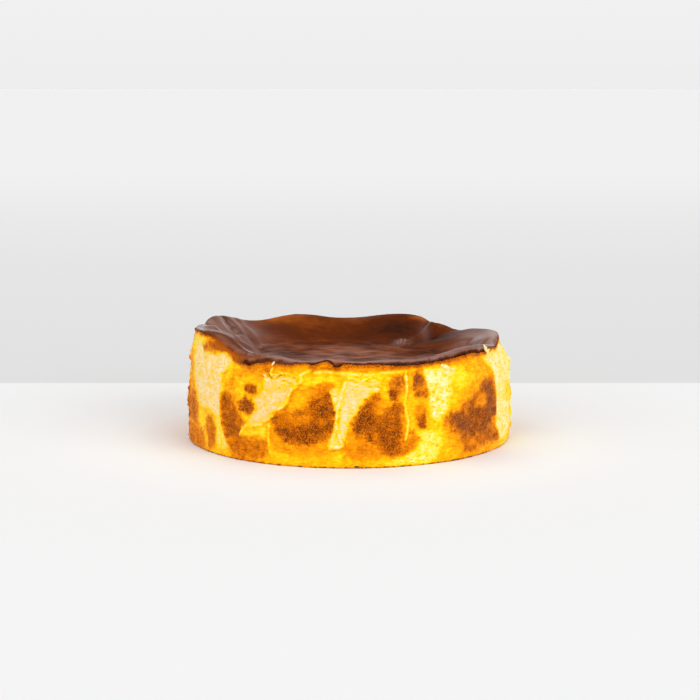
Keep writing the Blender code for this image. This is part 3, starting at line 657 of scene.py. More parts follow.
class Bake:
    """How far each place of the side is baked, what tint its pale parts have, and its relief in mm."""

    def __init__(self, bearing, height):
        wall = Wall(bearing, height)
        self.wall = wall
        self.below_skin = (skin_edge_height(bearing) - height) / MM
        fine = wall.waver(1.5, 3.0)
        self.ragged = 0.90 * wall.waver(4.2, 11.0) + 0.90 * fine + 0.80 * wall.waver(0.9, 13.0)
        self.baked = GOLDEN + 0.06 * wall.waver(9.0, 5.0)
        self.peach = np.full(height.shape, 0.35)
        self.mauve = np.zeros(height.shape)
        self.sunk = np.zeros(height.shape)
        self.lay_bands()
        for area in (*FRONT_AREAS, *back_areas()):
            self.lay(area)
        self.mottle(fine)
        self.draw_creases()
        self.scorch_edges()

    def lay_bands(self):
        """An orange band under the skin, and a golden one at the foot that is painted bounce light from
        below.
        """
        self.baked += 0.16 * (1.0 - smooth(0.8, 4.5, self.below_skin + self.ragged))
        # Painted light: the foot is a little more golden, as if lit by a golden bounce from below.
        self.baked += 0.03 * (1.0 - smooth(1.0, 5.0, self.wall.up))

    def lay(self, area):
        depth = self.wall.depth(area.outline) + self.ragged
        blur = area.blur * (1.0 + smooth(0.50, 0.75, area.baked))
        cover = smooth(-blur, blur, depth)
        for name in TINTS:
            tint = getattr(self, name)
            tint += (getattr(area, name) - tint) * cover
        self.sunk += (area.sunk - self.sunk) * smooth(-0.5, 0.7, depth)

    def mottle(self, fine):
        """Yellow flecks in the pale parts, and darker and lighter flecks in the brown ones."""
        wall = self.wall
        pale = 1.0 - smooth(PALE, NOT_PALE, self.baked)
        brown = smooth(0.58, 0.80, self.baked)
        flecks = smooth(0.10, 0.50, wall.waver(1.9, 21.0, tall=0.8))
        self.baked += pale * (0.17 - 0.09 * self.peach ** 2) * flecks
        self.baked += pale * 0.06 * wall.waver(3.6, 9.0)
        self.baked += brown * (0.07 * fine + 0.13 * wall.waver(2.6, 31.0)) + (1.0 - brown) * 0.03 * fine
        self.relief = pale * 0.14 * wall.waver(1.5, 51.0) - self.sunk
        self.relief += (0.08 + 0.05 * brown) * wall.waver(0.95, 61.0)
        facets = smooth(-0.15, 0.15, wall.waver(6.5, 71.0)) - 0.5
        self.relief += 0.10 * facets
        left_flank = hump(turn_between(wall.bearing, -86.0), 15.0)
        torn = wall.waver(2.2, 81.0, tall=0.7)
        self.relief += left_flank * (0.85 * torn - 0.60)
        self.baked += left_flank * 0.40 * torn

    def draw_creases(self):
        """Raised pale ridges where the parchment was folded, with a painted shadow beside them, and thin
        dark cracks whose dark is painted shade.
        """
        wander = 0.25 * self.wall.waver(2.2, 91.0)
        uneven = 1.0 + 0.9 * self.wall.waver(3.1, 93.0)
        for half_width, rise, pale, crease in FINE_CREASES:
            away = np.abs(self.wall.distance(crease) + wander) / half_width
            self.relief += rise * hump(away) * np.clip(uneven, 0.35, 1.2)
            cover = abs(pale) * hump(away, 0.85) * np.clip(1.25 * uneven - 0.25, 0.15, 1.0)
            # A crack (pale below 0) is painted dark: painted shade in its groove.
            self.baked += ((0.04 if pale > 0.0 else 0.85) - self.baked) * cover
            self.peach += (0.25 - self.peach) * cover
            # Painted shadow: a darker line either side of each pale ridge.
            self.baked += 0.10 * max(pale, 0.0) * hump(away - 2.2, 0.9) * uneven

    def scorch_edges(self):
        """A scorched line at the foot, and a caught one close under the skin."""
        wall = self.wall
        spots = 0.25 + 0.75 * smooth(-0.25, 0.45, wall.waver(3.0, 101.0))
        line = 1.0 - smooth(0.1, 0.9, wall.up + 0.2 * self.ragged)
        self.baked += (SCORCHED - self.baked) * line * spots
        under = self.below_skin + 0.35 * self.ragged
        bead, _ = read_round(SKIN_EDGES, wall.bearing)
        halo = 1.0 - smooth(0.4, 1.4 + 2.4 * bead, under)
        self.baked += np.maximum(RUSTY - self.baked, 0.0) * halo * 0.95
        caught = 1.0 - smooth(0.1, 0.8 + 1.1 * bead, under)
        self.baked += (CAUGHT - self.baked) * caught * 0.85
        self.baked = np.clip(self.baked, 0.0, 1.0)


# --- Turning and settling.
FOOT, SIDE, LIP, DISH_WALL, DISH_FLOOR, UNDER = range(6)
TURN_STEPS = 24
LIP_ROWS = 5
SKIN_LIP_ROWS = 16
UNDER_ROWS = 13


def turned_body(half_section, columns):
    """A closed body turned from a half-section of (part, way along it, radius, height)."""
    bm = bmesh.new()
    part = bm.verts.layers.float.new("part")
    way = bm.verts.layers.float.new("way")
    corners = []
    for number, along, radius, height in half_section:
        corner = bm.verts.new((radius, 0.0, height))
        corner[part] = number
        corner[way] = along
        corners.append(corner)
    for pair in zip(corners, corners[1:]):
        bm.edges.new(pair)
    bmesh.ops.spin(
        bm, geom=bm.verts[:] + bm.edges[:], cent=(0.0, 0.0, 0.0), axis=(0.0, 0.0, 1.0),
        angle=math.tau, steps=TURN_STEPS, use_merge=True)
    bmesh.ops.remove_doubles(bm, verts=bm.verts[:], dist=1e-6)
    rings = [e for e in bm.edges if all(e.verts[0][key] == e.verts[1][key] for key in (part, way))]
    bmesh.ops.subdivide_edges(bm, edges=rings, cuts=columns // TURN_STEPS - 1, use_grid_fill=True)
    bmesh.ops.recalc_face_normals(bm, faces=bm.faces[:])
    return bm


def steps(number, rows, start, end, last=1.0):
    """Stations of one part of a half-section, from one (radius, height) to just before another."""
    for along in np.arange(rows) * last / rows:
        yield number, along, start[0] + (end[0] - start[0]) * along, start[1] + (end[1] - start[1]) * along


def dish_steps(wall_rows, floor_rows, last=1.0):
    """Stations of the dish, from the rim to the middle."""
    rim, foot, middle = ((radius, CAKE_HEIGHT) for radius in (RIM_RADIUS, DISH_RADIUS, 0.0))
    yield from steps(DISH_WALL, wall_rows, rim, foot)
    yield from steps(DISH_FLOOR, floor_rows, foot, middle, last)
    yield DISH_FLOOR, 1.0, *middle


class Settled:
    """A turned body's points, as arrays: where each lies on the cake, and where it goes."""

    def __init__(self, mesh):
        self.mesh = mesh
        place = np.empty(len(mesh.vertices) * 3)
        mesh.vertices.foreach_get("co", place)
        self.place = place.reshape(-1, 3)
        self.bearing = np.degrees(np.arctan2(self.place[:, 0], -self.place[:, 1]))
        self.part = np.rint(self.read("part"))
        self.way = np.round(self.read("way"), 5)

    def read(self, name):
        values = np.empty(len(self.mesh.vertices))
        self.mesh.attributes[name].data.foreach_get("value", values)
        self.mesh.attributes.remove(self.mesh.attributes[name])
        return values

    def pick(self, *parts):
        """Which points belong to these parts, and their bearings and ways."""
        chosen = np.isin(self.part, parts)
        return chosen, self.bearing[chosen], self.way[chosen]

    def dish(self):
        """Which points are the dish's, how far down its wall they are, their radius and height."""
        chosen, bearing, way = self.pick(DISH_WALL, DISH_FLOOR)
        on_wall = self.part[chosen] == DISH_WALL
        radius, height = dish_place(bearing, np.where(on_wall, 1.0 - way, 0.0),
                                    np.where(on_wall, 1.0, 1.0 - way))
        return chosen, np.where(on_wall, way, 1.0), radius, height

    def put(self, chosen, radius, height):
        self.place[chosen] = in_space(self.bearing[chosen], radius, height) + (*SHIFT, 0.0)

    def write(self):
        self.mesh.vertices.foreach_set("co", self.place.ravel())
        self.mesh.update()

    def paint(self, name, values):
        layer = self.mesh.attributes.new(name, "FLOAT", "POINT")
        layer.data.foreach_set("value", np.asarray(values, np.float32))


def set_out(name, data):
    made = bpy.data.objects.new(name, data)
    bpy.context.scene.collection.objects.link(made)
    return made


def mesh_object(name, bm, material):
    mesh = bpy.data.meshes.new(name)
    bm.to_mesh(mesh)
    bm.free()
    mesh.materials.append(material)
    return set_out(name, mesh)


def finished_piece(name, bm, material):
    """A smooth-shaded object that rides with the cake."""
    piece = mesh_object(name, bm, material)
    piece.data.shade_smooth()
    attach(piece, BODY)
    return piece


def make_custard(settings):
    """The custard: foot, side, and the hidden top that the skin lies on."""
    section = [(FOOT, 0.0, 0.0, 0.0), (FOOT, 0.5, 0.5 * CAKE_RADIUS, 0.0)]
    section += steps(SIDE, settings.side_rows, (CAKE_RADIUS, 0.0), (CAKE_RADIUS, LIP_FOOT))
    section += steps(LIP, LIP_ROWS, (RIM_RADIUS + LIP_WIDTH, LIP_FOOT), (RIM_RADIUS, CAKE_HEIGHT))
    section += dish_steps(wall_rows=8, floor_rows=4)
    piece = finished_piece("custard", turned_body(section, settings.side_columns),
                           custard_finish(settings))
    settled = Settled(piece.data)
    depth = 0.7 * settings.skin_thickness

    # The flat foot stays round and centred.
    chosen, bearing, way = settled.pick(FOOT)
    settled.place[chosen] = in_space(bearing, way * CAKE_RADIUS, 0.0)

    chosen, bearing, way = settled.pick(SIDE, LIP)
    on_lip = settled.part[chosen] == LIP
    low = lip_foot_height(bearing)
    leaning = np.where(on_lip, way, 0.0) * math.pi / 2.0
    height = np.where(on_lip, low + (rim_height(bearing) - low) * np.sin(leaning), way * low)
    bake = Bake(bearing, height)
    rounded = np.clip(1.0 - height / FOOT_ROUND, 0.0, 1.0)
    radius = outer_radius(bearing, height) - FOOT_ROUND * (1.0 - np.sqrt(1.0 - rounded * rounded))
    visible = smooth(-0.9, 0.1, bake.below_skin)
    grip = smooth(0.0, 1.2 * MM, height)
    inset = depth * (1.0 - visible)
    settled.put(chosen, radius + MM * bake.relief * visible * grip - inset * np.cos(leaning),
                height - inset * np.sin(leaning))
    for name in TINTS:
        values = np.zeros(len(settled.bearing))
        values[chosen] = getattr(bake, name)
        settled.paint(name, values)

    # The hidden top lies deeper in the dish, where the skin is folded.
    chosen, down, radius, height = settled.dish()
    deeper = 0.6 * MM + 1.6 * MM * (1.0 - smooth(0.056, 0.068, radius))
    settled.put(chosen, radius, height - depth - (deeper - depth) * smooth(0.0, 0.4, down))
    settled.write()
    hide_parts(NODE)


def skin_relief(x, y):
    """Folds, bubbles and slow wrinkles that are finer than the solid's, all in mm."""
    points = np.stack([x, y, np.zeros(x.shape)], axis=-1)
    wander = 0.7 * waver(points, 6.0, 4.0)
    floor = 1.0 - smooth(34.0, 48.0, np.hypot(x, y))
    relief = (0.14 + 0.26 * floor) * waver(points, 9.5, 14.0)
    relief += floor * 0.24 * waver(points * (0.7, 1.3, 1.0), 4.6, 24.0)
    relief += (0.03 + 0.04 * floor) * waver(points, 1.8, 34.0)
    for half_width, rise, chain in SKIN_FOLDS:
        relief += rise * hump(distance_to_chain(x + wander, y - wander, chain), half_width)
    for middle_x, middle_y, half_width, rise in SKIN_BUBBLES:
        relief += rise * hump(np.hypot(x - middle_x, y - middle_y), half_width)
    return relief


def make_skin(settings):
    """The burnt skin: a thin closed shell over the rim and the dish, with a ragged edge."""
    thickness = settings.skin_thickness
    low = CAKE_HEIGHT - thickness
    half_lip = RIM_RADIUS + 0.5 * LIP_WIDTH
    section = [(UNDER, 1.0 - row / UNDER_ROWS, RIM_RADIUS * row / UNDER_ROWS, low)
               for row in range(UNDER_ROWS)]
    section.append((UNDER, 0.0, half_lip, low))
    section += steps(LIP, SKIN_LIP_ROWS, (RIM_RADIUS + LIP_WIDTH, LIP_FOOT), (half_lip, CAKE_HEIGHT))
    section += dish_steps(wall_rows=46, floor_rows=46, last=0.94)
    piece = finished_piece("burnt_skin", turned_body(section, settings.skin_columns),
                           skin_finish(settings))
    settled = Settled(piece.data)
    char, thin, crust, gloss = (np.full(len(settled.bearing), value) for value in (0.5, 0.0, 0.0, 0.0))

    chosen, bearing, way = settled.pick(LIP)
    edge = skin_edge_height(bearing)
    leaning = way * math.pi / 2.0
    height = edge + (rim_height(bearing) - edge) * np.sin(leaning)
    radius = outer_radius(bearing, height)
    points = in_space(bearing, radius, height) / MM
    bead, fading = read_round(SKIN_EDGES, bearing)
    crusty = 0.22 + 0.60 * bead * waver(points, 1.7, 44.0)
    proud = crusty * (1.0 - 0.85 * fading) * MM * (1.0 - way) ** 0.6
    pressed = smooth(0.5, 1.0, way) * MM * skin_relief(points[:, 0], points[:, 1])
    settled.put(chosen, radius + proud * np.cos(leaning), height + proud * np.sin(leaning) + pressed)
    hung = smooth(2.4 * MM, 4.2 * MM, rim_height(bearing) - edge)
    lumpy = 0.20 * waver(points, 3.0, 54.0)
    char[chosen] = 0.44 + 0.10 * smooth(0.4, 1.0, way)
    thin[chosen] = (0.25 + 0.75 * fading) * (1.0 - smooth(0.0, 1.0, way / (0.22 + 0.50 * hung)))
    crust[chosen] = bead * (1.0 - smooth(0.14 + lumpy, 0.50 - 0.22 * hung + lumpy, way))
    gloss[chosen] = 0.90 * smooth(0.20, 0.50, way)

    chosen, down, radius, height = settled.dish()
    x, y = plan(settled.bearing[chosen], radius / MM)
    settled.put(chosen, radius, height + MM * skin_relief(x, y))
    gloss[chosen] = 0.75 * (1.0 - smooth(0.0, 0.16, down))

    chosen, bearing, way = settled.pick(UNDER)
    reach = (1.0 - way) * RIM_RADIUS
    climb = np.clip((reach - DISH_RADIUS) / (RIM_RADIUS - DISH_RADIUS), 0.0, 1.0)
    radius, height = dish_place(bearing, climb, np.clip(reach / DISH_RADIUS, 0.0, 1.0))
    height -= thickness + 2.0 * MM * (1.0 - smooth(0.054, 0.066, radius))
    at_edge = way == 0.0
    edge = skin_edge_height(bearing)
    radius = np.where(at_edge, outer_radius(bearing, edge) - 1.2 * thickness, radius)
    settled.put(chosen, radius, np.where(at_edge, edge + 0.2 * MM, height))
    paint_skin(settled, char, thin, crust, gloss)
    settled.write()
    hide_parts(NODE)


def in_plan(spots, x, y):
    """Sum of soft spots on the skin."""
    return sum(amount * hump(np.hypot((x - middle_x) / half_x, (y - middle_y) / half_y))
               for (middle_x, middle_y), (half_x, half_y), amount in spots)


def paint_skin(settled, char, thin, crust, gloss):
    """How burnt, thin, crusted and shiny the skin is, where shade is painted along its grooves, and where a
    mauve-grey sheen is painted into its colour.
    """
    points = settled.place / MM
    x, y, _ = points.T
    floor = 1.0 - smooth(36.0, 48.0, np.hypot(x, y))
    streaks = waver(points * (0.8, 1.2, 1.0), 5.8, 26.0)
    wander = 0.6 * waver(points, 5.0, 46.0)
    # Painted shade: dark lines along the grooves and crevices, with less shine and sheen on them.
    groove_shade = sum(darker * hump(distance_to_chain(x + wander, y - wander, chain), half_width)
                for darker, half_width, chain in SKIN_GROOVE_SHADE)
    char = char + in_plan(SKIN_TONES, x, y) + floor * 0.26 * streaks + groove_shade
    char += 0.08 * waver(points, 13.0, 6.0) + 0.06 * waver(points, 4.0, 16.0)
    shine = 0.22 + in_plan(SKIN_SHINES, x, y) - floor * 0.25 * streaks - 0.5 * groove_shade
    shine += gloss * (1.0 - 0.7 * smooth(0.0, 30.0, y)) + 0.12 * waver(points, 8.0, 36.0)
    # Painted sheen: a mauve-grey reflection painted into the colour, kept off the painted groove shade.
    dust = np.clip(in_plan(SKIN_PAINTED_SHEEN, x, y) - 1.4 * groove_shade, 0.0, 1.0)
    settled.paint("char", np.clip(char, 0.0, 1.0))
    settled.paint("thin", thin)
    settled.paint("crust", crust)
    settled.paint("shine", np.clip(shine, 0.0, 1.0) * (1.0 - 0.85 * crust) * (1.0 - 0.4 * thin))
    settled.paint("wrinkled", 0.10 + 0.90 * floor * smooth(-0.35, 0.35, streaks))
    settled.paint("dust", dust * (1.0 - crust) * (1.0 - 0.7 * thin))


# --- Crumbs and flakes.
def wall_frame(bearing, height, lift):
    """Axes across, up and out of the side, at a place lifted off it."""
    radius = outer_radius(np.array([bearing]), np.array([height]))[0] + lift
    out = Vector((*plan(bearing, 1.0), 0.0))
    across = Vector((*plan(bearing + 90.0, 1.0), 0.0))
    turned = Matrix((across, Vector((0.0, 0.0, 1.0)), out)).transposed().to_4x4()
    return Matrix.Translation(out * radius + Vector((*SHIFT, height))) @ turned


def add_crumb(bm, frame_at, size, draw):
    """An uneven crumb of about this size."""
    turned = Matrix.Rotation(draw.uniform(0.0, math.tau), 4, Vector((draw.random(), draw.random(), 1.0)))
    scale = Matrix.Diagonal((draw.uniform(0.8, 1.3), draw.uniform(0.5, 0.9), draw.uniform(0.5, 0.8), 1.0))
    made = bmesh.ops.create_icosphere(bm, subdivisions=1, radius=size / 2.0,
                                      matrix=frame_at @ scale @ turned)
    for vert in made["verts"]:
        jitter = Vector((draw.uniform(-1, 1), draw.uniform(-1, 1), draw.uniform(-1, 1)))
        vert.co += jitter * 0.12 * size


def make_foot_specks(settings):
    """Burnt specks that the tin left along the foot."""
    draw = random.Random(7)
    bm = bmesh.new()
    strewn = [(draw.uniform(-180.0, 180.0), draw.uniform(0.25, 0.75)) for _ in range(settings.speck_count)]
    for bearing, size in (*FOOT_SPECKS, *strewn):
        height = (0.30 * size + draw.uniform(0.0, 0.35)) * MM
        at = wall_frame(bearing, height, draw.uniform(-0.05, 0.10) * MM)
        add_crumb(bm, at @ Matrix.Diagonal((1.6, 0.7, 0.8, 1.0)), size * MM, draw)
    for vert in bm.verts:
        vert.co.z = max(vert.co.z, 0.02 * MM)
    finished_piece("foot_specks", bm, grain_finish("burnt_speck", (60, 24, 8), (128, 62, 10), 0.55))


def make_side_crumbs(settings):
    """Small golden crumbs that cling to the side and to the skin's edge."""
    draw = random.Random(19)
    bm = bmesh.new()
    for _ in range(settings.crumb_count):
        bearing = draw.uniform(-180.0, 180.0)
        if draw.random() < 0.35:
            height = skin_edge_height(np.array([bearing]))[0] - draw.uniform(0.0, 1.2) * MM
        else:
            height = draw.uniform(1.0, 42.0) * MM
        size = draw.uniform(0.25, 0.70) * MM
        add_crumb(bm, wall_frame(bearing, height, 0.05 * MM), size, draw)
    finished_piece("side_crumbs", bm, grain_finish("golden_crumb", (250, 178, 30), (224, 130, 18), 0.50))


def make_torn_flakes():
    """Pale flakes of custard torn up where the parchment was peeled away."""
    draw = random.Random(23)
    bm = bmesh.new()
    for bearing, height, length, width, turn in TORN_FLAKES:
        at = wall_frame(bearing, height * MM, 0.25 * MM) @ Matrix.Rotation(math.radians(turn), 4, "Z")
        verts = bmesh.ops.create_grid(bm, x_segments=8, y_segments=4, size=0.5)["verts"]
        for vert in verts:
            along, aside = vert.co.xy
            taper = 1.0 - 0.75 * (2.0 * abs(along)) ** 1.6
            ragged = 1.0 + draw.uniform(-0.18, 0.18)
            curl = 0.22 * length * (along + 0.5) ** 2 + 0.25 * width * aside * aside
            vert.co = Vector((along * length, aside * width * taper * ragged, curl)) * MM
        bmesh.ops.transform(bm, matrix=at, verts=verts)
        faces = list(dict.fromkeys(face for vert in verts for face in vert.link_faces))
        bmesh.ops.solidify(bm, geom=faces, thickness=0.35 * MM)
    bmesh.ops.recalc_face_normals(bm, faces=bm.faces[:])
    finished_piece("torn_flakes", bm, grain_finish("pale_flake", (254, 240, 180), (253, 220, 120), 0.45))


# --- Materials.
class Signal:
    """A number that a shader works out. Arithmetic on it adds Math nodes."""

    def __init__(self, finish, socket):
        self.finish = finish
        self.socket = socket

    def maths(self, operation, first, second):
        return self.finish.node("ShaderNodeMath", {"operation": operation}, {0: first, 1: second})

    def __add__(self, other):
        return self.maths("ADD", self, other)

    def __sub__(self, other):
        return self.maths("SUBTRACT", self, other)

    def __rsub__(self, other):
        return self.maths("SUBTRACT", other, self)

    def __mul__(self, other):
        return self.maths("MULTIPLY", self, other)

    def __abs__(self):
        return self.maths("ABSOLUTE", self, 0.0)

    __radd__ = __add__
    __rmul__ = __mul__


def srgb(red, green, blue):
    """A colour given as it looks on a screen, 0 to 255, for a shader."""
    def linear(value):
        value /= 255.0
        return value / 12.92 if value <= 0.04045 else ((value + 0.055) / 1.055) ** 2.4
    return linear(red), linear(green), linear(blue), 1.0


def grey(value):
    return value, value, value, 1.0


class Finish:
    """A node tree under construction, of a material or of the world."""

    def __init__(self, owner):
        owner.use_nodes = True
        self.owner = owner
        self.tree = owner.node_tree

    def node(self, kind, options=None, sockets=None, output=0):
        """Adds a node: its options first, then values or links for its sockets."""
        made = self.tree.nodes.new(kind)
        for name, value in (options or {}).items():
            if name == "stops":
                self.set_stops(made.color_ramp, value)
            else:
                setattr(made, name, value)
        for name, value in (sockets or {}).items():
            self.feed(made.inputs[name], value)
        return Signal(self, made.outputs[output])

    def set_stops(self, ramp, stops):
        while len(ramp.elements) < len(stops):
            ramp.elements.new(0.5)
        for element, (place, colour) in zip(ramp.elements, stops):
            element.position = place
            element.color = colour

    def feed(self, socket, value):
        if isinstance(value, Signal):
            self.tree.links.new(value.socket, socket)
        else:
            socket.default_value = value

    def shade(self, **sockets):
        """Sets the Principled shader's sockets, named with _ for a space, and gives the material."""
        shader = self.tree.nodes["Principled BSDF"]
        for name, value in sockets.items():
            self.feed(shader.inputs[name.replace("_", " ")], value)
        return self.owner

    def place(self):
        return self.node("ShaderNodeTexCoord", output="Object")

    def painted(self, name):
        return self.node("ShaderNodeAttribute", {"attribute_name": name}, output="Fac")

    def stretched(self, place, *scale):
        return self.node("ShaderNodeVectorMath", {"operation": "MULTIPLY"}, {0: place, 1: scale},
                         output="Vector")

    def grain(self, place, size, detail=2.0):
        """Noise with features of this size in mm."""
        return self.node("ShaderNodeTexNoise", None,
                         {"Vector": place, "Scale": 1.0 / (size * MM), "Detail": detail})

    def between(self, value, low, high):
        """The value's way from low to high, eased."""
        return self.node("ShaderNodeMapRange", {"interpolation_type": "SMOOTHSTEP"},
                         {0: value, 1: low, 2: high})

    def mix(self, factor, first, second):
        return self.node("ShaderNodeMix", {"data_type": "RGBA"}, {0: factor, 6: first, 7: second}, output=2)

    def ramp(self, factor, *stops):
        return self.node("ShaderNodeValToRGB", {"stops": stops}, {"Fac": factor}, output="Color")

    def bump(self, height, distance):
        """A bump of this distance in mm."""
        return self.node("ShaderNodeBump", None,
                         {"Height": height, "Distance": distance * MM, "Strength": 1.0}, output="Normal")


BAKED_STOPS = (
    (0.30, srgb(255, 220, 26)), (0.40, srgb(254, 196, 8)), (0.50, srgb(252, 172, 3)),
    (0.62, srgb(238, 140, 2)), (0.74, srgb(210, 110, 3)), (0.86, srgb(170, 83, 5)),
    (1.00, srgb(114, 56, 10)),
)


def custard_finish(settings):
    """Baked custard: cream and lemon where it is pale, gold, orange and toasted brown elsewhere."""
    finish = Finish(bpy.data.materials.new("custard"))
    place = finish.place()
    baked = finish.painted("baked")
    blotch = finish.grain(place, 3.4, 4.0)
    streak = finish.grain(finish.stretched(place, 1.0, 1.0, 2.8), 2.6, 4.0)
    speckle = finish.grain(place, 0.9, 3.0)
    crumb = finish.grain(place, 0.3)
    grit = finish.grain(place, 0.55, 1.0)
    torn = finish.grain(finish.stretched(place, 1.0, 1.0, 1.7), 1.3)
    toasted = finish.between(baked, 0.52, 0.80)
    charred = finish.between(baked, 0.76, 0.94)
    pale = finish.between(baked, NOT_PALE, PALE)
    pit = finish.between(grit + speckle * 0.5, 0.80, 0.66)
    deep = baked + (blotch - 0.5) * 0.36 + (streak - 0.5) * (0.44 - toasted * 0.24)
    deep = deep + pale * finish.between(torn, 0.54, 0.66) * 0.27
    deep = deep + (speckle - 0.5) * (0.18 + toasted * 0.24) + (toasted + charred) * (pit * 0.15 - 0.06)
    lemon = finish.ramp(deep, (0.0, settings.cream_colour), (0.10, srgb(254, 235, 146)),
                        (0.20, srgb(254, 226, 80)), *BAKED_STOPS)
    peach = finish.ramp(deep, (0.0, settings.peach_colour), (0.10, srgb(252, 208, 138)),
                        (0.20, srgb(252, 203, 84)), *BAKED_STOPS)
    colour = finish.mix(finish.painted("peach"), lemon, peach)
    height = streak * (1.0 - toasted) * 0.9 + speckle * 0.5 + crumb * 0.3 - pit * toasted * 0.5
    return finish.shade(
        Base_Color=finish.mix(finish.painted("mauve") * 0.7, colour, srgb(132, 76, 50)),
        Roughness=0.40 + toasted * 0.16 + crumb * 0.10,
        Normal=finish.bump(height + pale * torn * 1.2, 0.26),
        Specular_IOR_Level=0.06,
        Subsurface_Weight=0.12,
        Subsurface_Radius=(0.0022, 0.0010, 0.0004),
        Subsurface_Scale=1.0,
    )


def skin_finish(settings):
    """Burnt skin: caramelised, smooth and faintly glossy."""
    finish = Finish(bpy.data.materials.new("burnt_skin"))
    place = finish.place()
    cloud = finish.grain(place, 4.5, 3.0)
    leather = finish.grain(place, 0.9, 3.0)
    pores = finish.grain(place, 0.35, 1.0)
    wrinkled = finish.painted("wrinkled")
    drawn_out = finish.stretched(place, 0.32, 1.0, 1.0)
    crease = finish.between(abs(finish.grain(drawn_out, 5.0, 1.0) - 0.5), 0.075, 0.0) * wrinkled
    ripple = finish.grain(drawn_out, 3.0, 1.0) * wrinkled
    # The crease is darker in colour as well as a groove in the bump: painted shade in the wrinkles.
    deep = finish.painted("char") + (cloud - 0.5) * 0.30 + (leather - 0.5) * 0.12 + crease * 0.09
    colour = finish.ramp(deep, (0.0, srgb(188, 100, 24)), (0.28, srgb(138, 66, 14)),
                         (0.58, srgb(96, 40, 7)), (1.0, settings.char_colour))
    colour = finish.mix(finish.painted("thin") * 0.85, colour, srgb(196, 98, 16))
    # Painted sheen: the colour turns mauve-grey where a reflection is painted.
    colour = finish.mix(finish.painted("dust") * (cloud * 0.6 + 0.7), colour, srgb(138, 98, 86))
    crumbly = finish.between(leather + pores * 0.5, 0.62, 0.78)
    crust = finish.painted("crust") * (crumbly * 0.35 + 0.65)
    height = leather * 0.6 + pores * 0.25 + crust * crumbly + ripple * 8.0 - crease * 2.0
    return finish.shade(
        Base_Color=finish.mix(crust, colour, srgb(50, 20, 9)),
        Roughness=0.34 + cloud * 0.14 + crust * 0.2,
        Normal=finish.bump(height, 0.10),
        Specular_IOR_Level=0.02,
        Coat_Weight=finish.painted("shine"),
        Coat_Roughness=0.25,
        Coat_IOR=1.60,
    )


def grain_finish(name, colour, other, roughness):
    """A finish for crumbs: two tones in a fine grain."""
    finish = Finish(bpy.data.materials.new(name))
    place = finish.place()
    tone = finish.between(finish.grain(place, 0.8), 0.40, 0.60)
    fine = finish.grain(place, 0.2)
    return finish.shade(Base_Color=finish.mix(tone, srgb(*colour), srgb(*other)),
                        Roughness=roughness + fine * 0.1, Normal=finish.bump(fine, 0.06))


# --- The stage.
# Behind the cake the floor is painted as a backdrop, with painted shade: darker near the step, paler far
# off.
BACKDROP_FROM = 0.1345
BACKDROP_FAR_TONE = 0.835
# The sky from the horizon up: height, tone.
SKY_BANDS = ((0.0, 0.57), (0.10, 0.60), (0.32, 0.56), (0.41, 0.10), (0.46, 0.02), (0.72, 0.02),
             (0.80, 0.92), (1.0, 1.0))
# Soft lights at infinity: bearing, elevation and spread in degrees, strength.
SUNS = {"key": (48.0, 24.0, 50.0, 1.44), "fill": (-52.0, 24.0, 60.0, 0.96)}
LENS = 88.87
SENSOR_WIDTH = 36.0
CAMERA_DISTANCE = 0.8
CAMERA_ELEVATION = math.radians(11.65)
CAMERA_PITCH = math.radians(8.886827)
CAMERA_TURN = math.radians(-0.0166)


def make_floor(settings):
    """A matt pale floor that steps to the backdrop's tone behind the cake, with painted shading there:
    darker near the step and paler far off.
    """
    finish = Finish(bpy.data.materials.new("pale_floor"))
    away = finish.node("ShaderNodeSeparateXYZ", None, {0: finish.place()}, output="Y")
    step = finish.between(away, BACKDROP_FROM - 2.0 * MM, BACKDROP_FROM + 2.0 * MM)
    backdrop = finish.mix(finish.between(away, 0.1, 2.4), grey(settings.backdrop_tone),
                          grey(BACKDROP_FAR_TONE))
    matt = finish.shade(Base_Color=finish.mix(step, grey(settings.floor_tone), backdrop), Roughness=0.9,
                        Specular_IOR_Level=0.0)
    bm = bmesh.new()
    bmesh.ops.create_grid(bm, x_segments=1, y_segments=1, size=30.0)
    floor = mesh_object("floor", bm, matt)


def make_world(settings):
    """A bright band round the horizon, a dark one above it and a broad soft light overhead."""
    world = bpy.data.worlds.new("studio")
    bpy.context.scene.world = world
    finish = Finish(world)
    direction = finish.node("ShaderNodeTexCoord", output="Generated")
    up = finish.node("ShaderNodeSeparateXYZ", None, {0: direction}, output="Z")
    background = finish.tree.nodes["Background"]
    finish.feed(background.inputs["Color"], finish.ramp(up, *((at, grey(tone)) for at, tone in SKY_BANDS)))
    finish.feed(background.inputs["Strength"], settings.sky_strength)


def make_sun(name, bearing, elevation, spread, strength):
    light = bpy.data.lights.new(name, "SUN")
    light.energy = strength
    light.angle = math.radians(spread)
    lamp = set_out(name, light)
    up = math.radians(elevation)
    towards = Vector((*plan(bearing, math.cos(up)), math.sin(up)))
    lamp.visible_glossy = False
    lamp.rotation_euler = towards.to_track_quat("Z", "Y").to_euler()


def make_camera():
    """The photograph's viewpoint: low in front, looking a little down."""
    camera = bpy.data.cameras.new("camera")
    camera.lens = LENS
    camera.sensor_width = SENSOR_WIDTH
    camera.clip_start = 0.01
    camera.clip_end = 100.0
    holder = set_out("camera", camera)
    holder.location = (0.0, -CAMERA_DISTANCE * math.cos(CAMERA_ELEVATION),
                       CAMERA_DISTANCE * math.sin(CAMERA_ELEVATION))
    holder.rotation_euler = (math.pi / 2.0 - CAMERA_PITCH, 0.0, CAMERA_TURN)
    bpy.context.scene.camera = holder


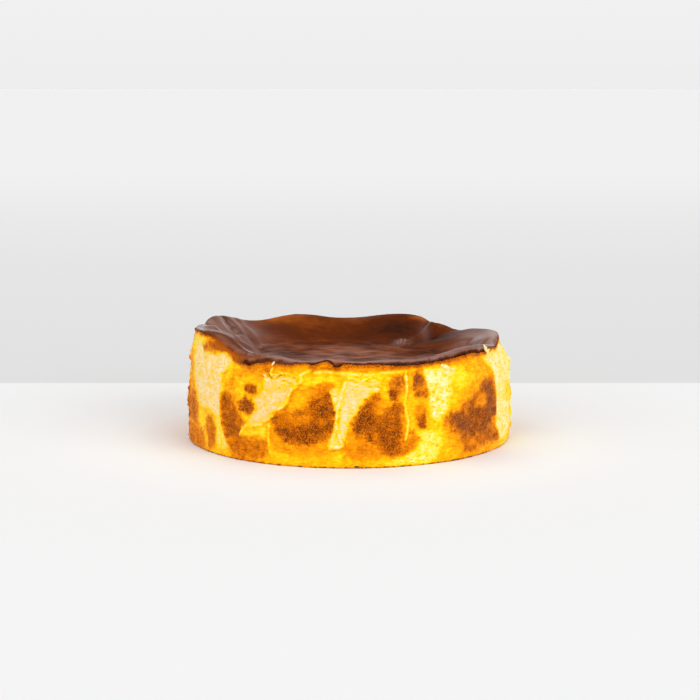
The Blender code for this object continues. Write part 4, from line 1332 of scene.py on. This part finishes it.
# --- Settings, operators and panel.
class CheesecakeSettings(bpy.types.PropertyGroup):
    """Sizes, colours and tones that a user would change."""

    skin_thickness: FloatProperty(
        name="Skin thickness", description="Thickness of the burnt skin", default=0.0009, unit="LENGTH")
    side_columns: IntProperty(
        name="Side columns", description="Columns of faces round the custard", default=936)
    side_rows: IntProperty(
        name="Side rows", description="Rows of faces up the custard's side", default=80)
    skin_columns: IntProperty(
        name="Skin columns", description="Columns of faces round the skin", default=744)
    speck_count: IntProperty(
        name="Specks", description="Loose burnt specks round the foot", default=110)
    crumb_count: IntProperty(
        name="Crumbs", description="Golden crumbs on the side", default=170)
    cream_colour: FloatVectorProperty(
        name="Cream", description="Colour of the palest lemon custard", default=srgb(255, 244, 196),
        size=4, subtype="COLOR")
    peach_colour: FloatVectorProperty(
        name="Peach", description="Colour of the palest peach custard", default=srgb(254, 222, 176),
        size=4, subtype="COLOR")
    char_colour: FloatVectorProperty(
        name="Char", description="Colour of the darkest skin", default=srgb(44, 19, 9),
        size=4, subtype="COLOR")
    floor_tone: FloatProperty(
        name="Floor tone", description="How pale the floor is", default=0.87, subtype="FACTOR")
    backdrop_tone: FloatProperty(
        name="Backdrop tone", description="How pale the backdrop starts", default=0.73, subtype="FACTOR")
    sky_strength: FloatProperty(
        name="Sky", description="Strength of the light from all round", default=1.50)


class CHEESECAKE_OT_custard(bpy.types.Operator):
    """Bake the custard and its side"""

    bl_idname = "cheesecake.custard"
    bl_label = "Custard"

    def execute(self, context):
        make_custard(context.scene.cheesecake)
        return {"FINISHED"}


class CHEESECAKE_OT_skin(bpy.types.Operator):
    """Lay the burnt skin over the custard"""

    bl_idname = "cheesecake.skin"
    bl_label = "Burnt skin"

    def execute(self, context):
        make_skin(context.scene.cheesecake)
        return {"FINISHED"}


class CHEESECAKE_OT_crumbs(bpy.types.Operator):
    """Add the burnt specks, the crumbs and the torn flakes"""

    bl_idname = "cheesecake.crumbs"
    bl_label = "Crumbs and flakes"

    def execute(self, context):
        make_foot_specks(context.scene.cheesecake)
        make_side_crumbs(context.scene.cheesecake)
        make_torn_flakes()
        return {"FINISHED"}


class CHEESECAKE_OT_stage(bpy.types.Operator):
    """Set the floor, the light and the camera"""

    bl_idname = "cheesecake.stage"
    bl_label = "Stage"

    def execute(self, context):
        make_floor(context.scene.cheesecake)
        make_world(context.scene.cheesecake)
        for name, sun in SUNS.items():
            make_sun(name, *sun)
        make_camera()
        context.scene.view_settings.view_transform = "Standard"
        return {"FINISHED"}


class CHEESECAKE_PT_panel(bpy.types.Panel):
    bl_label = "Cheesecake"
    bl_idname = "CHEESECAKE_PT_panel"
    bl_space_type = "VIEW_3D"
    bl_region_type = "UI"
    bl_category = "Cheesecake"

    def draw(self, context):
        for name in CheesecakeSettings.__annotations__:
            self.layout.prop(context.scene.cheesecake, name)
        for step in STEPS:
            self.layout.operator(step.bl_idname)


STEPS = (CHEESECAKE_OT_custard, CHEESECAKE_OT_skin, CHEESECAKE_OT_crumbs, CHEESECAKE_OT_stage)
CLASSES = (CheesecakeSettings, *STEPS, CHEESECAKE_PT_panel)


def register():
    for each in CLASSES:
        bpy.utils.register_class(each)
    bpy.types.Scene.cheesecake = PointerProperty(type=CheesecakeSettings)


def unregister():
    del bpy.types.Scene.cheesecake
    for each in reversed(CLASSES):
        bpy.utils.unregister_class(each)


def main():
    register()
    bpy.ops.cheesecake.custard()
    bpy.ops.cheesecake.skin()
    bpy.ops.cheesecake.crumbs()
    bpy.ops.cheesecake.stage()


if __name__ == "__main__":
    main()
